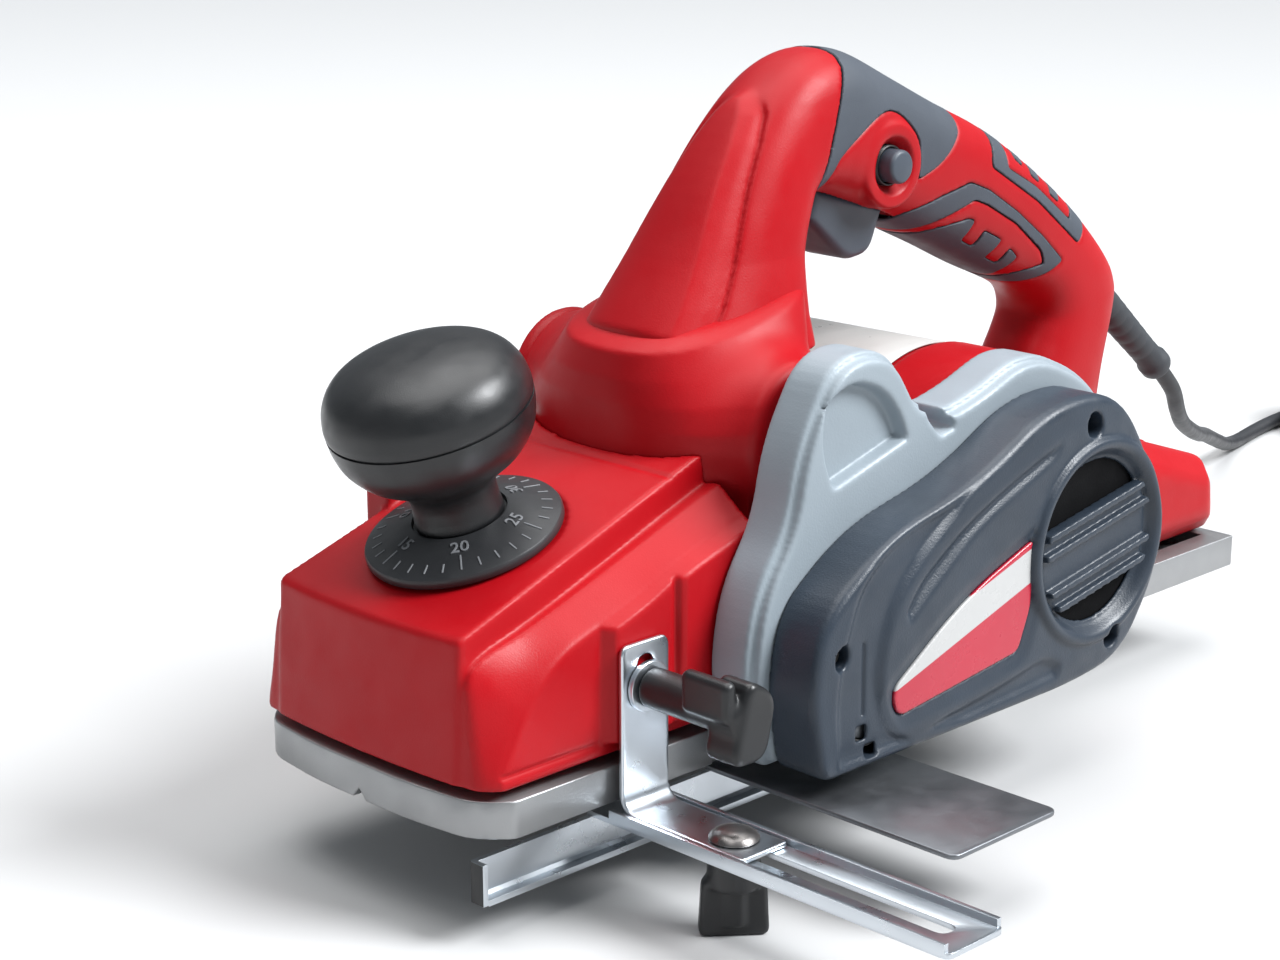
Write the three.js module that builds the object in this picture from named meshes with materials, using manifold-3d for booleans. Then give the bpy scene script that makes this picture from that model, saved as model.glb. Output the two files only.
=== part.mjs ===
// Electric hand planer with an edge guide: a three.js assembly in millimetres, +Z up.
// The planer points along -X, and its belt drive and edge guide are on the -Y side.
// While it is designed, z = 0 is the sole, y = 0 is the near side of the sole and x = 0 is its near
// front corner. At the end the whole machine is lifted and centred, so that it stands on z = 0.
import * as THREE from "three";
import { mergeVertices } from "three/addons/utils/BufferGeometryUtils.js";
import Module from "manifold-3d";

const wasm = await Module();
wasm.setup();

// ---------------------------------------------------------------- driving dimensions
const GAP = 0.3; // clearance between neighbouring pieces
const WALL = 3; // plastic wall thickness

const SOLE = { width: 117, front: -12, mouth: 90, rearEdge: 139.5, rear: 389, thick: 12.4 };
const MID_Y = SOLE.width / 2;

const DRUM = { x: 117, z: 25, radius: 23, cut: 25, y0: 4, y1: 113, shaft: 6 };
const MOTOR = { x: 225, z: 55, radius: 59, y0: -4, y1: 114, shaft: 5, flange: 24.5, step: 1.4 };
const PLATE = { y0: 26, y1: 92, from: 80, to: 115.5, thick: 0.6 }; // angles in degrees above +X
const CHANNEL = { x: 133, z: 101.5, radius: 25.5, bore: 21, y0: 2, y1: 115 };

const CASTING = { y0: -24, y1: -4.4 }; // belt-side gear casting
const COVER = { y0: -45, y1: CASTING.y0 - GAP, wall: 2.5 };
const GRILLE = { x: 229, z: 54, radius: 31 };

const KNOB = { x: 35, z: 76, tilt: THREE.MathUtils.degToRad(17.5), dial: 32.5 };
const TOP = { z: 62.5, slope: 0.345, x: -4.5 }; // sloping top of the front housing

const GUIDE = { x: 52.5, width: 20.5, plate: 2, face: -5, leg: -56, top: 52.5, screwZ: 38 };
const BAR = { width: 25.5, y0: -136.5, y1: 8.6, webTop: -3.9, lip: 4.4, thick: 1.8 };
const BOLT_Y = -43;
const COVER_SCREWS = [[100.5, 44], [228, 96], [243, 17]];

const CORD = { diameter: 7, sides: 10, step: 18 };
const COIL = { x: 742, y: 131.5, mean: 41, width: 14.6, height: 21.4 };
const FLOOR = -33; // height of the surface that the machine stands on, under the wing nut

// ---------------------------------------------------------------- materials
const paint = (color, roughness, metalness = 0) =>
  new THREE.MeshStandardMaterial({ color, roughness, metalness });
const RED = 0xc4161c;
const SLATE = 0x4a4f57;
const BLACK = 0x1c1d20;
const COVER_BLUE = 0x2b333d;
const ALUMINIUM = 0xb9c0c6;
const ZINC = 0xc3c9cf;
const STEEL = 0x8d9399;

// ---------------------------------------------------------------- solids
function solid(geometry) {
  const bare = geometry.clone();
  bare.deleteAttribute("normal");
  bare.deleteAttribute("uv");
  const merged = mergeVertices(bare, 1e-4);
  const vertProperties = new Float32Array(merged.attributes.position.array);
  const triVerts = new Uint32Array(merged.index.array);
  const made = new wasm.Manifold(new wasm.Mesh({ numProp: 3, vertProperties, triVerts }));
  return made.volume() > 0 ? made : flipped(vertProperties, triVerts);
}

function flipped(vertProperties, triVerts) {
  for (let i = 0; i < triVerts.length; i += 3) {
    [triVerts[i + 1], triVerts[i + 2]] = [triVerts[i + 2], triVerts[i + 1]];
  }
  return new wasm.Manifold(new wasm.Mesh({ numProp: 3, vertProperties, triVerts }));
}

function geometryOf(manifold) {
  const { vertProperties, triVerts, numProp, numVert } = manifold.getMesh();
  const positions = new Float32Array(numVert * 3);
  for (let i = 0; i < numVert; i++) {
    positions.set(vertProperties.subarray(i * numProp, i * numProp + 3), i * 3);
  }
  const geometry = new THREE.BufferGeometry();
  geometry.setAttribute("position", new THREE.BufferAttribute(positions, 3));
  geometry.setIndex(new THREE.BufferAttribute(triVerts, 1));
  return geometry;
}

const join = (...parts) => parts.reduce((a, b) => a.add(b));
const cut = (part, ...tools) => tools.reduce((a, b) => a.subtract(b), part);

// A closed outline through points [u, v, radius], each corner rounded by its own radius.
function outline(points) {
  const shape = new THREE.Shape();
  points.forEach(([u, v, r = 0], i) => {
    const here = new THREE.Vector2(u, v);
    const before = new THREE.Vector2(...points.at(i - 1).slice(0, 2));
    const after = new THREE.Vector2(...points[(i + 1) % points.length].slice(0, 2));
    const reach = Math.min(r, here.distanceTo(before) * 0.49, here.distanceTo(after) * 0.49);
    const start = here.clone().add(before.sub(here).setLength(reach));
    const end = here.clone().add(after.sub(here).setLength(reach));
    if (i === 0) shape.moveTo(start.x, start.y);
    else shape.lineTo(start.x, start.y);
    if (r) shape.quadraticCurveTo(u, v, end.x, end.y);
  });
  shape.closePath();
  return shape;
}

// The same outline moved inwards by a distance, for the hollow of a shell.
function inset(points, distance) {
  const turn = Math.sign(THREE.ShapeUtils.area(points.map(([u, v]) => new THREE.Vector2(u, v))));
  return points.map(([u, v, r = 0], i) => {
    const [a, b] = points.at(i - 1);
    const [c, d] = points[(i + 1) % points.length];
    const first = new THREE.Vector2(u - a, v - b).normalize();
    const second = new THREE.Vector2(c - u, d - v).normalize();
    const n1 = new THREE.Vector2(-first.y, first.x).multiplyScalar(turn);
    const n2 = new THREE.Vector2(-second.y, second.x).multiplyScalar(turn);
    const bisector = n1.clone().add(n2).normalize();
    const reach = distance / Math.max(bisector.dot(n1), 0.4);
    return [u + bisector.x * reach, v + bisector.y * reach, Math.max(r - distance * 0.6, 0)];
  });
}

function extrude(shape, depth, curveSegments) {
  return new THREE.ExtrudeGeometry(shape, { depth, bevelEnabled: false, curveSegments });
}

// An (x, z) outline made solid between two y values.
function slabY(points, y0, y1, curveSegments = 4) {
  const shape = Array.isArray(points) ? outline(points) : points;
  return solid(extrude(shape, y1 - y0, curveSegments).rotateX(Math.PI / 2).translate(0, y1, 0));
}

// An (x, y) outline made solid between two z values.
function slabZ(points, z0, z1, curveSegments = 4) {
  const shape = Array.isArray(points) ? outline(points) : points;
  return solid(extrude(shape, z1 - z0, curveSegments).translate(0, 0, z0));
}

// A (y, z) outline made solid between two x values.
function slabX(points, x0, x1, curveSegments = 4) {
  const turn = new THREE.Matrix4().makeBasis(
    new THREE.Vector3(0, 1, 0),
    new THREE.Vector3(0, 0, 1),
    new THREE.Vector3(1, 0, 0),
  );
  const shape = Array.isArray(points) ? outline(points) : points;
  return solid(extrude(shape, x1 - x0, curveSegments).applyMatrix4(turn).translate(x0, 0, 0));
}

function block(x0, x1, y0, y1, z0, z1) {
  const box = new THREE.BoxGeometry(x1 - x0, y1 - y0, z1 - z0);
  return solid(box.translate((x0 + x1) / 2, (y0 + y1) / 2, (z0 + z1) / 2));
}

// A round bar from one point to another.
function rod(from, to, radius, segments = 20, endRadius = radius) {
  const a = new THREE.Vector3(...from);
  const b = new THREE.Vector3(...to);
  const bar = new THREE.CylinderGeometry(endRadius, radius, a.distanceTo(b), segments);
  const along = new THREE.Vector3().subVectors(b, a).normalize();
  const turn = new THREE.Quaternion().setFromUnitVectors(new THREE.Vector3(0, 1, 0), along);
  return solid(bar.applyQuaternion(turn).translate(...a.add(b).multiplyScalar(0.5).toArray()));
}

const rodY = (x, z, y0, y1, radius, segments) => rod([x, y0, z], [x, y1, z], radius, segments);

function ringY(x, z, y0, y1, outer, inner, segments = 24) {
  return cut(rodY(x, z, y0, y1, outer, segments), rodY(x, z, y0 - 1, y1 + 1, inner, segments));
}

// A turned shape about the Z axis from [radius, height] pairs.
function turned(profile, segments = 32) {
  const points = profile.map(([r, h]) => new THREE.Vector2(r, h));
  return new THREE.LatheGeometry(points, segments).rotateX(Math.PI / 2);
}

// A closed skin through rings of points, with a flat cap at each end.
function loft(rings) {
  const count = rings[0].length;
  const positions = rings.flat().flatMap((p) => p.toArray());
  const index = [];
  for (let i = 0; i + 1 < rings.length; i++) {
    for (let j = 0; j < count; j++) {
      const a = i * count + j;
      const b = i * count + ((j + 1) % count);
      index.push(a, b, b + count, a, b + count, a + count);
    }
  }
  for (const [ring, first] of [[rings[0], 0], [rings.at(-1), (rings.length - 1) * count]]) {
    const centre = positions.length / 3;
    const sum = ring.reduce((s, p) => s.add(p), new THREE.Vector3());
    positions.push(...sum.divideScalar(count).toArray());
    for (let j = 0; j < count; j++) {
      const pair = [first + j, first + ((j + 1) % count)];
      index.push(centre, ...(first ? pair : pair.reverse()));
    }
  }
  const geometry = new THREE.BufferGeometry();
  geometry.setAttribute("position", new THREE.Float32BufferAttribute(positions, 3));
  geometry.setIndex(index);
  return solid(geometry);
}

// One ring of a rounded section, centred on c, with half sizes a along u and b along v.
function section(c, u, v, a, b, count = 24, power = 2.6) {
  const squared = (t) => Math.sign(t) * Math.abs(t) ** (2 / power);
  return Array.from({ length: count }, (_, i) => {
    const angle = (2 * Math.PI * i) / count;
    return new THREE.Vector3(...c)
      .addScaledVector(u, a * squared(Math.cos(angle)))
      .addScaledVector(v, b * squared(Math.sin(angle)));
  });
}

const AXIS_Y = new THREE.Vector3(0, 1, 0);

const machine = new THREE.Group();
const nodes = new THREE.Group();
machine.add(nodes);

function add(name, shape, material) {
  const geometry = shape.isBufferGeometry ? shape : geometryOf(shape);
  const mesh = new THREE.Mesh(geometry, material);
  mesh.name = name;
  nodes.add(mesh);
}

// ---------------------------------------------------------------- sole and castings
const topZ = (x) => TOP.z + TOP.slope * (x - TOP.x);
const knobAxis = new THREE.Vector3(-Math.sin(KNOB.tilt), 0, Math.cos(KNOB.tilt));
const onKnobAxis = (h) => knobAxis.clone().multiplyScalar(h).add(new THREE.Vector3(KNOB.x, MID_Y, KNOB.z));
const knobRod = (h0, h1, r, segments) =>
  rod(onKnobAxis(h0).toArray(), onKnobAxis(h1).toArray(), r, segments);

function frontShoe() {
  const far = SOLE.width;
  const plan = [
    [SOLE.mouth - 2, 0], [2, 0, 2], [-8, 9.5, 6], [-11.5, 35, 20], [-11.5, far - 35, 20],
    [-8, far - 9.5, 6], [2, far, 2], [SOLE.mouth - 2, far],
  ];
  const groove = slabX([[MID_Y - 4, -1], [MID_Y + 4, -1], [MID_Y, 3.5]], SOLE.front - 1, SOLE.mouth);
  const plate = slabZ(plan, 0, SOLE.thick, 3);
  const pocket = block(4, 78, 12, far - 12, 7, 30);
  const boss = cut(knobRod(-70, -30, 9, 20), block(0, 100, 0, far, -20, 3));
  return cut(join(cut(plate, pocket), boss), groove, knobRod(-52, 0, 4.3, 16));
}

function baseCasting() {
  const far = SOLE.width;
  const plate = block(SOLE.rearEdge, SOLE.rear, 0.2, far, 0, SOLE.thick);
  const pocket = block(SOLE.rearEdge + 12, SOLE.rear - 8, 10, far - 10, 6, 30);
  const cheekLine = [[91, 2, 3], [150, 2], [158, 14], [158, 51.2], [91, 51.2]];
  const farCheek = slabY(cheekLine, far - 3.4, far);
  const nearCheek = slabY(cheekLine, 0.2, 3.4);
  const bore = rodY(DRUM.x, DRUM.z, -1, far + 1, DRUM.shaft + GAP, 20);
  const farSeat = rodY(DRUM.x, DRUM.z, far - 3.5, far + 1, 11.3, 24);
  const groove = slabX([[MID_Y - 3, -1], [MID_Y + 3, -1], [MID_Y, 2.5]], SOLE.rearEdge - 1, SOLE.rear + 1);
  return cut(join(cut(plate, pocket), farCheek, nearCheek), bore, farSeat, groove);
}

// The outline that the belt cover and the casting flange share, from the front bottom corner.
const COVER_LINE = [
  [92, 4, 6], [86.5, 34, 20], [92, 58, 24], [121, 78, 30], [168, 88, 50], [205, 107, 34],
  [243, 106, 30], [265, 76, 34], [275, 40, 34], [252, 7, 30], [222, 3.5, 14],
];

const CASTING_LINE = [
  [89, 4, 4], [80, 34, 24], [85, 62, 20], [99, 82, 10], [104, 106, 20], [120, 133, 26],
  [146, 133, 24], [160, 110, 6], [171, 106, 3], [174, 100, 3], [181, 103, 3], [192, 110, 10],
  [220, 120, 34], [258, 104, 34], [282, 70, 40], [282, 26, 34], [250, 4, 24],
];

// The gear casting is hollow on its body side, with bosses round the two bores and the screws.
function driveCasting() {
  const flange = slabY(CASTING_LINE, CASTING.y0, CASTING.y1);
  const recess = slabY(
    [[113, 88, 12], [116, 110, 16], [133, 124, 22], [152, 112, 16], [154, 99, 4]],
    CASTING.y0 - 1, CASTING.y0 + 3,
  );
  const bosses = [
    rodY(DRUM.x, DRUM.z, -20, CASTING.y1, 15, 24),
    rodY(MOTOR.x, MOTOR.z, -20, -14, 15, 24),
    ...COVER_SCREWS.map(([x, z]) => rodY(x, z, -20, CASTING.y1, 6, 12)),
  ];
  const hollow = cut(slabY(inset(CASTING_LINE, 4), -18, 0), ...bosses);
  const bores = [DRUM, MOTOR].map(({ x, z }) => rodY(x, z, -30, 0, 11.3, 24));
  const screwHoles = COVER_SCREWS.map(([x, z]) => rodY(x, z, -26, -9, 2.1, 10));
  return cut(flange, hollow, recess, ...bores, ...screwHoles);
}

// ---------------------------------------------------------------- plastic housings
function frontHousing() {
  const plan = (side, nose, rear, z) => {
    const far = SOLE.width - side;
    const flat = [
      [rear, side], [nose + 24, side], [nose + 8, side + 2], [nose + 2, side + 14], [nose, MID_Y],
      [nose + 2, far - 14], [nose + 8, far - 2], [nose + 24, far], [rear, far], [rear, MID_Y],
    ];
    return flat.map(([x, y]) => new THREE.Vector3(x, y, z(x)));
  };
  const shell = (d) => {
    const skirt = loft([
      plan(1.5 + d, -11.5 + d, 88 - d, () => 15.8 - (d ? 1 : 0)),
      plan(1.8 + d, -10.5 + d, 88 - d, () => 24),
      plan(4 + d, -7 + d, 88 - d, (x) => 46 + 0.3 * x - d),
    ]);
    const crown = loft([
      plan(9 + d, -10.5 + d, 90 - d, () => 15.8 - (d ? 1 : 0)),
      plan(10 + d, -9.5 + d, 90 - d, () => 24),
      plan(15.5 + d, -9 + d, 90 - d, (x) => topZ(x) - 4.5 - d),
      plan(20.5 + d, -6 + d, 90 - d, (x) => topZ(x) - d),
    ]);
    return join(skirt, crown);
  };
  const ribs = [34, 69].map((x) => block(x - 1.5, x + 1.5, 0.6, 6, 15.8, x === 34 ? 50 : 60));
  const pad = block(40, 66, GUIDE.face + GUIDE.plate + GAP, 9, 15.8, 54);
  const spindleHole = knobRod(-40, 10, 5, 20);
  const screwHole = rodY(GUIDE.x, GUIDE.screwZ, -6, 16, 3.6, 16);
  const hub = knobRod(-18, -1, 9, 20);
  const dialSeat = knobRod(0, 20, KNOB.dial + GAP, 40);
  return cut(join(cut(shell(0), shell(WALL)), ...ribs, pad, hub), dialSeat, spindleHole, screwHole);
}

// The turret: a broad drum that narrows upwards, with the chip channel across it.
function turretHousing() {
  const ring = (front, rear, halfWidth, z, slope) => {
    const depth = (rear - front) / 2;
    const centre = [front + depth, MID_Y, z + slope * (front + depth - 100)];
    return section(centre, new THREE.Vector3(1, 0, slope), AXIS_Y, depth, halfWidth, 24, 2.4);
  };
  const body = loft([
    ring(91, 200, 56.5, 52, 0), ring(91, 200, 56.5, 96, 0), ring(91.5, 192, 48, 112, 0.12),
    ring(93, 184, 36.5, 127.3, 0.2), ring(106, 181, 33, 131, 0.2),
  ]);
  const hollow = loft([
    ring(94, 197, 53.5, 40, 0), ring(94, 197, 53.5, 95, 0), ring(94.5, 189, 45, 110, 0.12),
    ring(97, 181, 34, 124, 0.2),
  ]);
  const { x, z, bore, radius, y0, y1 } = CHANNEL;
  const channel = rodY(x, z, y0 - 6, y1, radius, 28);
  const collar = rodY(x, z, y1 - 8, y1 + 3, radius + 1.5, 28);
  const chute = block(x - 21, x + 19, 7, 110, 52, 98);
  const throat = join(rodY(x, z, 8, 120, bore, 24), block(x - 18, x + 16, 10, 107, 40, 98));
  const motorRoom = rodY(MOTOR.x, MOTOR.z, -20, 140, MOTOR.radius + GAP, 48);
  const noseRoom = block(80, 90 + GAP, -10, 130, 0, 140);
  return cut(join(cut(body, hollow), channel, collar, chute), throat, motorRoom, noseRoom);
}

function motorHousing() {
  const { x, z, radius } = MOTOR;
  const flange = rodY(x, z, MOTOR.y0 + GAP, MOTOR.flange, radius, 56);
  const barrel = join(flange, rodY(x, z, MOTOR.flange - 1, MOTOR.y1, radius - MOTOR.step, 56));
  const dished = rodY(x, z, MOTOR.y1 - 0.5, MOTOR.y1 + 3, radius - 6, 48);
  const hollow = rodY(x, z, -20, MOTOR.y1 - WALL, radius - WALL, 48);
  const floor = block(x - 80, x + 80, -20, 130, -20, SOLE.thick + 3.4);
  const vents = Array.from({ length: 7 }, (_, i) => {
    const height = z - 27 + 9 * i;
    return block(x - 24, x + 24, MOTOR.y1 - 6, MOTOR.y1 + 6, height - 1.6, height + 1.6);
  });
  const bearingSeat = ringY(x, z, 99, MOTOR.y1 - 1, 15, 11.3);
  const shell = cut(join(barrel, dished), hollow, floor, ...vents);
  return cut(join(shell, bearingSeat), rodY(x, z, 90, MOTOR.y1 - 1, 7.5, 20));
}

// A thin plate that lies on the motor housing, between the pillar and the rear post.
function ratingPlate() {
  const { x, z } = MOTOR;
  const { y0, y1, thick } = PLATE;
  const inner = MOTOR.radius - MOTOR.step + GAP;
  const [from, to] = [PLATE.from, PLATE.to].map(THREE.MathUtils.degToRad);
  const segment = new THREE.Shape();
  segment.absarc(x, z, inner + thick, from, to, false);
  segment.absarc(x, z, inner, to, from, true);
  return slabY(segment, y0, y1, 10);
}

function tailHousing() {
  const ring = (x, low, high, edge, z0) => {
    const far = SOLE.width;
    const pairs = [
      [low, z0], [low, edge], [low + 16, high], [far - low - 16, high],
      [far - low, edge], [far - low, z0], [MID_Y, z0],
    ];
    return pairs.map(([y, z]) => new THREE.Vector3(x, y, z));
  };
  const shell = (d) => loft([
    ring(268 + d, 3 + d, 72 - d, 60 - d, 12.8 - (d ? 1 : 0)),
    ring(330, 3 + d, 62 - d, 51.5 - d, 12.8 - (d ? 1 : 0)),
    ring(386 - d, 4 + d, 43 - d, 31 - d, 12.8 - (d ? 1 : 0)),
  ]);
  const motorRoom = rodY(MOTOR.x, MOTOR.z, -20, 140, MOTOR.radius + GAP, 48);
  return cut(cut(shell(0), shell(WALL)), motorRoom);
}

// ---------------------------------------------------------------- handle
// Stations round the handle loop: outer point, inner point (x, z) and half width.
const LOOP = [
  [[105, 132.5], [172, 145.9], 32], [[121, 153], [173, 158], 27], [[139, 178], [178, 166], 24],
  [[157, 199], [182, 168], 22.5], [[180, 213], [189, 167], 21], [[206, 212], [202, 163.5], 20],
  [[229, 204], [219, 157], 19.5], [[252, 195], [237, 149], 19.5], [[278, 184], [259, 139.5], 19.5],
  [[303, 170], [282, 129], 19.5], [[332, 150], [305, 119.5], 19.5], [[357, 128], [319, 110], 19.5],
  [[366, 105], [322, 99], 19.5], [[362, 82], [322, 84], 19.5], [[360, 54.2], [318, 66], 20],
];

// The handle's skin grown by a distance; a positive overrun carries both of its ends further down.
function handleLoft(first, last, grow, overrun = 0) {
  const rings = LOOP.slice(first, last + 1).map(([[ox, oz], [ix, iz], half]) => {
    const u = new THREE.Vector3(ox - ix, 0, oz - iz);
    const reach = u.length() / 2;
    const centre = [(ox + ix) / 2, MID_Y, (oz + iz) / 2];
    return section(centre, u.normalize(), AXIS_Y, reach + grow, half + grow, 24, 2.5);
  });
  if (overrun) {
    const lowered = (ring) => ring.map((p) => p.clone().setZ(p.z - overrun));
    rings.unshift(lowered(rings[0]));
    rings.push(lowered(rings.at(-1)));
  }
  return loft(rings);
}

const TRIGGER_ROOM = [[180, 150], [224, 138], [234, 162], [230, 169], [182, 181]];

const LOCK = { x: 217, z: 176, radius: 6.4, boss: 15 };
const buttonBore = () => rodY(LOCK.x, LOCK.z, 20, MID_Y - 4, LOCK.radius + GAP, 24);

function handleShells() {
  const trigger = slabY(TRIGGER_ROOM, MID_Y - 11.5, MID_Y + 11.5);
  const skin = handleLoft(0, 14, -1.2);
  const boss = rodY(LOCK.x, LOCK.z, MID_Y - 22, MID_Y + 3, LOCK.boss, 24);
  const cordBoss = rod([350, MID_Y, 121.4], [368, MID_Y, 106.7], 10.5, 20);
  const cordHole = rod([340, MID_Y, 129.6], [372, MID_Y, 103.5], 6.6, 20);
  const hollow = handleLoft(0, 14, -4.4, 5);
  const whole = cut(join(skin, boss, cordBoss), hollow, trigger, buttonBore(), cordHole);
  const near = cut(whole, block(0, 400, MID_Y - GAP / 2, 200, 0, 300));
  const far = cut(whole, block(0, 400, -200, MID_Y + GAP / 2, 0, 300));
  return [near, far];
}

// A rubber sleeve round the grip between two stations.
function gripWrap(first, last) {
  const sleeve = cut(handleLoft(first, last, 0.3), handleLoft(first - 1, last + 1, -1.2 + GAP));
  const trigger = slabY([[150, 120], [229, 120], [236, 163], [176, 178]], MID_Y - 13, MID_Y + 13);
  const boss = rodY(LOCK.x, LOCK.z, 0, MID_Y, LOCK.boss + GAP, 28);
  return cut(sleeve, trigger, boss, rod([340, MID_Y, 129.6], [372, MID_Y, 103.5], 10.9, 20));
}

function triggerLever() {
  const side = [
    [184.5, 160, 2], [205, 142.5, 5], [218, 144, 5], [223.5, 157, 3], [226, 160.5], [187, 171, 3],
  ];
  return slabY(side, MID_Y - 10.8, MID_Y + 10.8, 4);
}

function lockButton() {
  const stem = rodY(LOCK.x, LOCK.z, MID_Y - 20, MID_Y - 6, 4, 16);
  const head = rodY(LOCK.x, LOCK.z, MID_Y - 25.5, MID_Y - 16, LOCK.radius, 24);
  return join(stem, head);
}

// ---------------------------------------------------------------- depth knob
function placeOnKnobAxis(geometry) {
  return geometry.rotateY(-KNOB.tilt).translate(KNOB.x, MID_Y, KNOB.z);
}

function knobHead() {
  const profile = [
    [0, 8], [14.8, 8], [14.2, 13], [14.6, 18], [19, 24], [27, 31], [31.6, 38], [33.5, 46],
    [32.6, 54], [27.5, 61], [17, 65.4], [0, 67],
  ];
  return placeOnKnobAxis(turned(profile, 28));
}

function knobDial() {
  const r = KNOB.dial;
  const profile = [
    [5, 0.4], [r - 1, 0.4], [r, 1.4], [r, 3.2], [r - 2, 4.6], [16, 8.8], [15.3, 7.7], [5, 7.7], [5, 0.4],
  ];
  return placeOnKnobAxis(turned(profile, 36));
}

// ---------------------------------------------------------------- belt drive
const BADGE = [[127, 17, 7], [190, 24, 3], [196, 38, 3], [198, 63, 4], [160, 50, 30], [124, 27, 8]];

function beltCover() {
  const { y0, y1, wall } = COVER;
  const { x, z, radius } = GRILLE;
  const hollow = slabY(inset(COVER_LINE, wall), y0 + wall, y1 + 1, 4);
  const shell = cut(slabY(COVER_LINE, y0, y1, 4), hollow);
  const opening = rodY(x, z, y0 - 1, y0 + 4, radius - 3, 36);
  const bars = [-9, 9].map((dz) => block(x - 30, x + 30, y0 + 0.8, y0 + wall, z + dz - 3.4, z + dz + 3.4));
  const middle = block(x - 30, x + 30, y0 + 2, y0 + 3.6, z - 7, z + 7);
  const lugs = COVER_SCREWS.map(([sx, sz]) => rodY(sx, sz, y0 + 1, y1, 6, 18));
  const bores = COVER_SCREWS.map(([sx, sz]) => rodY(sx, sz, y0 - 1, y0 + 9, 3.7, 18));
  const shanks = COVER_SCREWS.map(([sx, sz]) => rodY(sx, sz, y0, y1 + 1, 2.1, 10));
  const badgeSeat = slabY(inset(BADGE, -GAP), y0 - 1, y0 + 1.5, 4);
  return cut(join(cut(shell, opening), ...bars, middle, ...lugs), ...bores, ...shanks, badgeSeat);
}

function coverScrew([x, z]) {
  const head = rodY(x, z, COVER.y0 + 5.6, COVER.y0 + 8.7, 3.3, 18);
  return join(head, rodY(x, z, COVER.y0 + 8, CASTING.y0 + 13, 1.8, 10));
}

const BELT = { y0: -41, y1: -31, thick: 2.2 };
const PULLEY = { drum: 12.5, motor: 14.5 };

// The outline of a belt round the two pulleys, clear of them by grow.
function beltLoop(grow) {
  const span = new THREE.Vector2(MOTOR.x - DRUM.x, MOTOR.z - DRUM.z);
  const lean = span.angle();
  const open = Math.acos((PULLEY.drum - PULLEY.motor) / span.length());
  const shape = new THREE.Shape();
  shape.absarc(DRUM.x, DRUM.z, PULLEY.drum + grow, lean + open, lean - open + 2 * Math.PI, false);
  shape.absarc(MOTOR.x, MOTOR.z, PULLEY.motor + grow, lean - open, lean + open, false);
  return shape;
}

function driveBelt() {
  const outer = slabY(beltLoop(GAP + BELT.thick), BELT.y0, BELT.y1, 10);
  return cut(outer, slabY(beltLoop(GAP), BELT.y0 - 1, BELT.y1 + 1, 10));
}

function pulley({ x, z, shaft }, radius) {
  const hub = rodY(x, z, BELT.y0 + 0.6, BELT.y1 + 1.8, radius, 24);
  const flange = rodY(x, z, BELT.y1 + GAP, BELT.y1 + 1.8, radius + 2.8, 24);
  return cut(join(hub, flange), rodY(x, z, -60, 0, shaft + GAP, 20));
}

// ---------------------------------------------------------------- cutter drum
const BLADE = { angle: THREE.MathUtils.degToRad(38), thick: 2 };

// A flat bar in a slot of the drum, turned about the drum's axis.
function drumBar(turn, across0, across1, deep0, deep1, y0, y1) {
  const bar = new THREE.BoxGeometry(across1 - across0, y1 - y0, deep1 - deep0);
  bar.translate((across0 + across1) / 2, (y0 + y1) / 2, (deep0 + deep1) / 2);
  return solid(bar.rotateY(turn).translate(DRUM.x, 0, DRUM.z));
}

function drumPieces() {
  const { x, z, radius, y0, y1, cut: tip, shaft } = DRUM;
  const turns = [BLADE.angle, BLADE.angle + Math.PI];
  const floor = radius - 13;
  const slots = turns.map((t) => drumBar(t, -GAP, 8.3, floor, radius + 5, y0 - 1, y1 + 1));
  const core = cut(rodY(x, z, y0, y1, radius, 36), rodY(x, z, 0, 120, shaft + GAP, 20), ...slots);
  const [from, to] = [y0 + 0.5, y1 - 0.5];
  const blades = turns.map((t) => drumBar(t, 0, BLADE.thick, floor + 0.5, tip - 0.5, from, to));
  const clamps = turns.map((t) => drumBar(t, BLADE.thick + GAP, 7.9, floor + 0.5, radius - 2.5, from, to));
  return { core, blades, clamps };
}

// ---------------------------------------------------------------- motor
function coolingFan() {
  const { x, z, shaft } = MOTOR;
  const disc = rodY(x, z, 4, 6, 40, 28);
  const hub = rodY(x, z, 4, 18, 10, 20);
  const blades = Array.from({ length: 10 }, (_, i) => {
    const blade = new THREE.BoxGeometry(26, 11, 1.6).translate(25, 11, 0);
    return solid(blade.rotateY((2 * Math.PI * i) / 10).translate(x, 0, z));
  });
  return cut(join(disc, hub, ...blades), rodY(x, z, 0, 30, shaft + GAP, 16));
}

function armature() {
  const { x, z, shaft } = MOTOR;
  const core = rodY(x, z, 32, 70, 22, 28);
  const windings = join(rodY(x, z, 24, 32.5, 18, 20), rodY(x, z, 69.5, 79, 18, 20));
  return cut(join(core, windings), rodY(x, z, 0, 100, shaft + GAP, 20));
}

function stator() {
  const { x, z } = MOTOR;
  const above = block(x - 60, x + 60, 20, 80, z + 34, z + 70);
  const below = block(x - 60, x + 60, 20, 80, z - 70, z - 34);
  return cut(ringY(x, z, 31, 71, 41, 23, 28), above, below);
}

function brushHolder(side) {
  const { x, z } = MOTOR;
  const ends = [x + side * 13.5, x + side * 44].sort((a, b) => a - b);
  return block(...ends, 84, 95, z - 6, z + 6);
}

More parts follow.
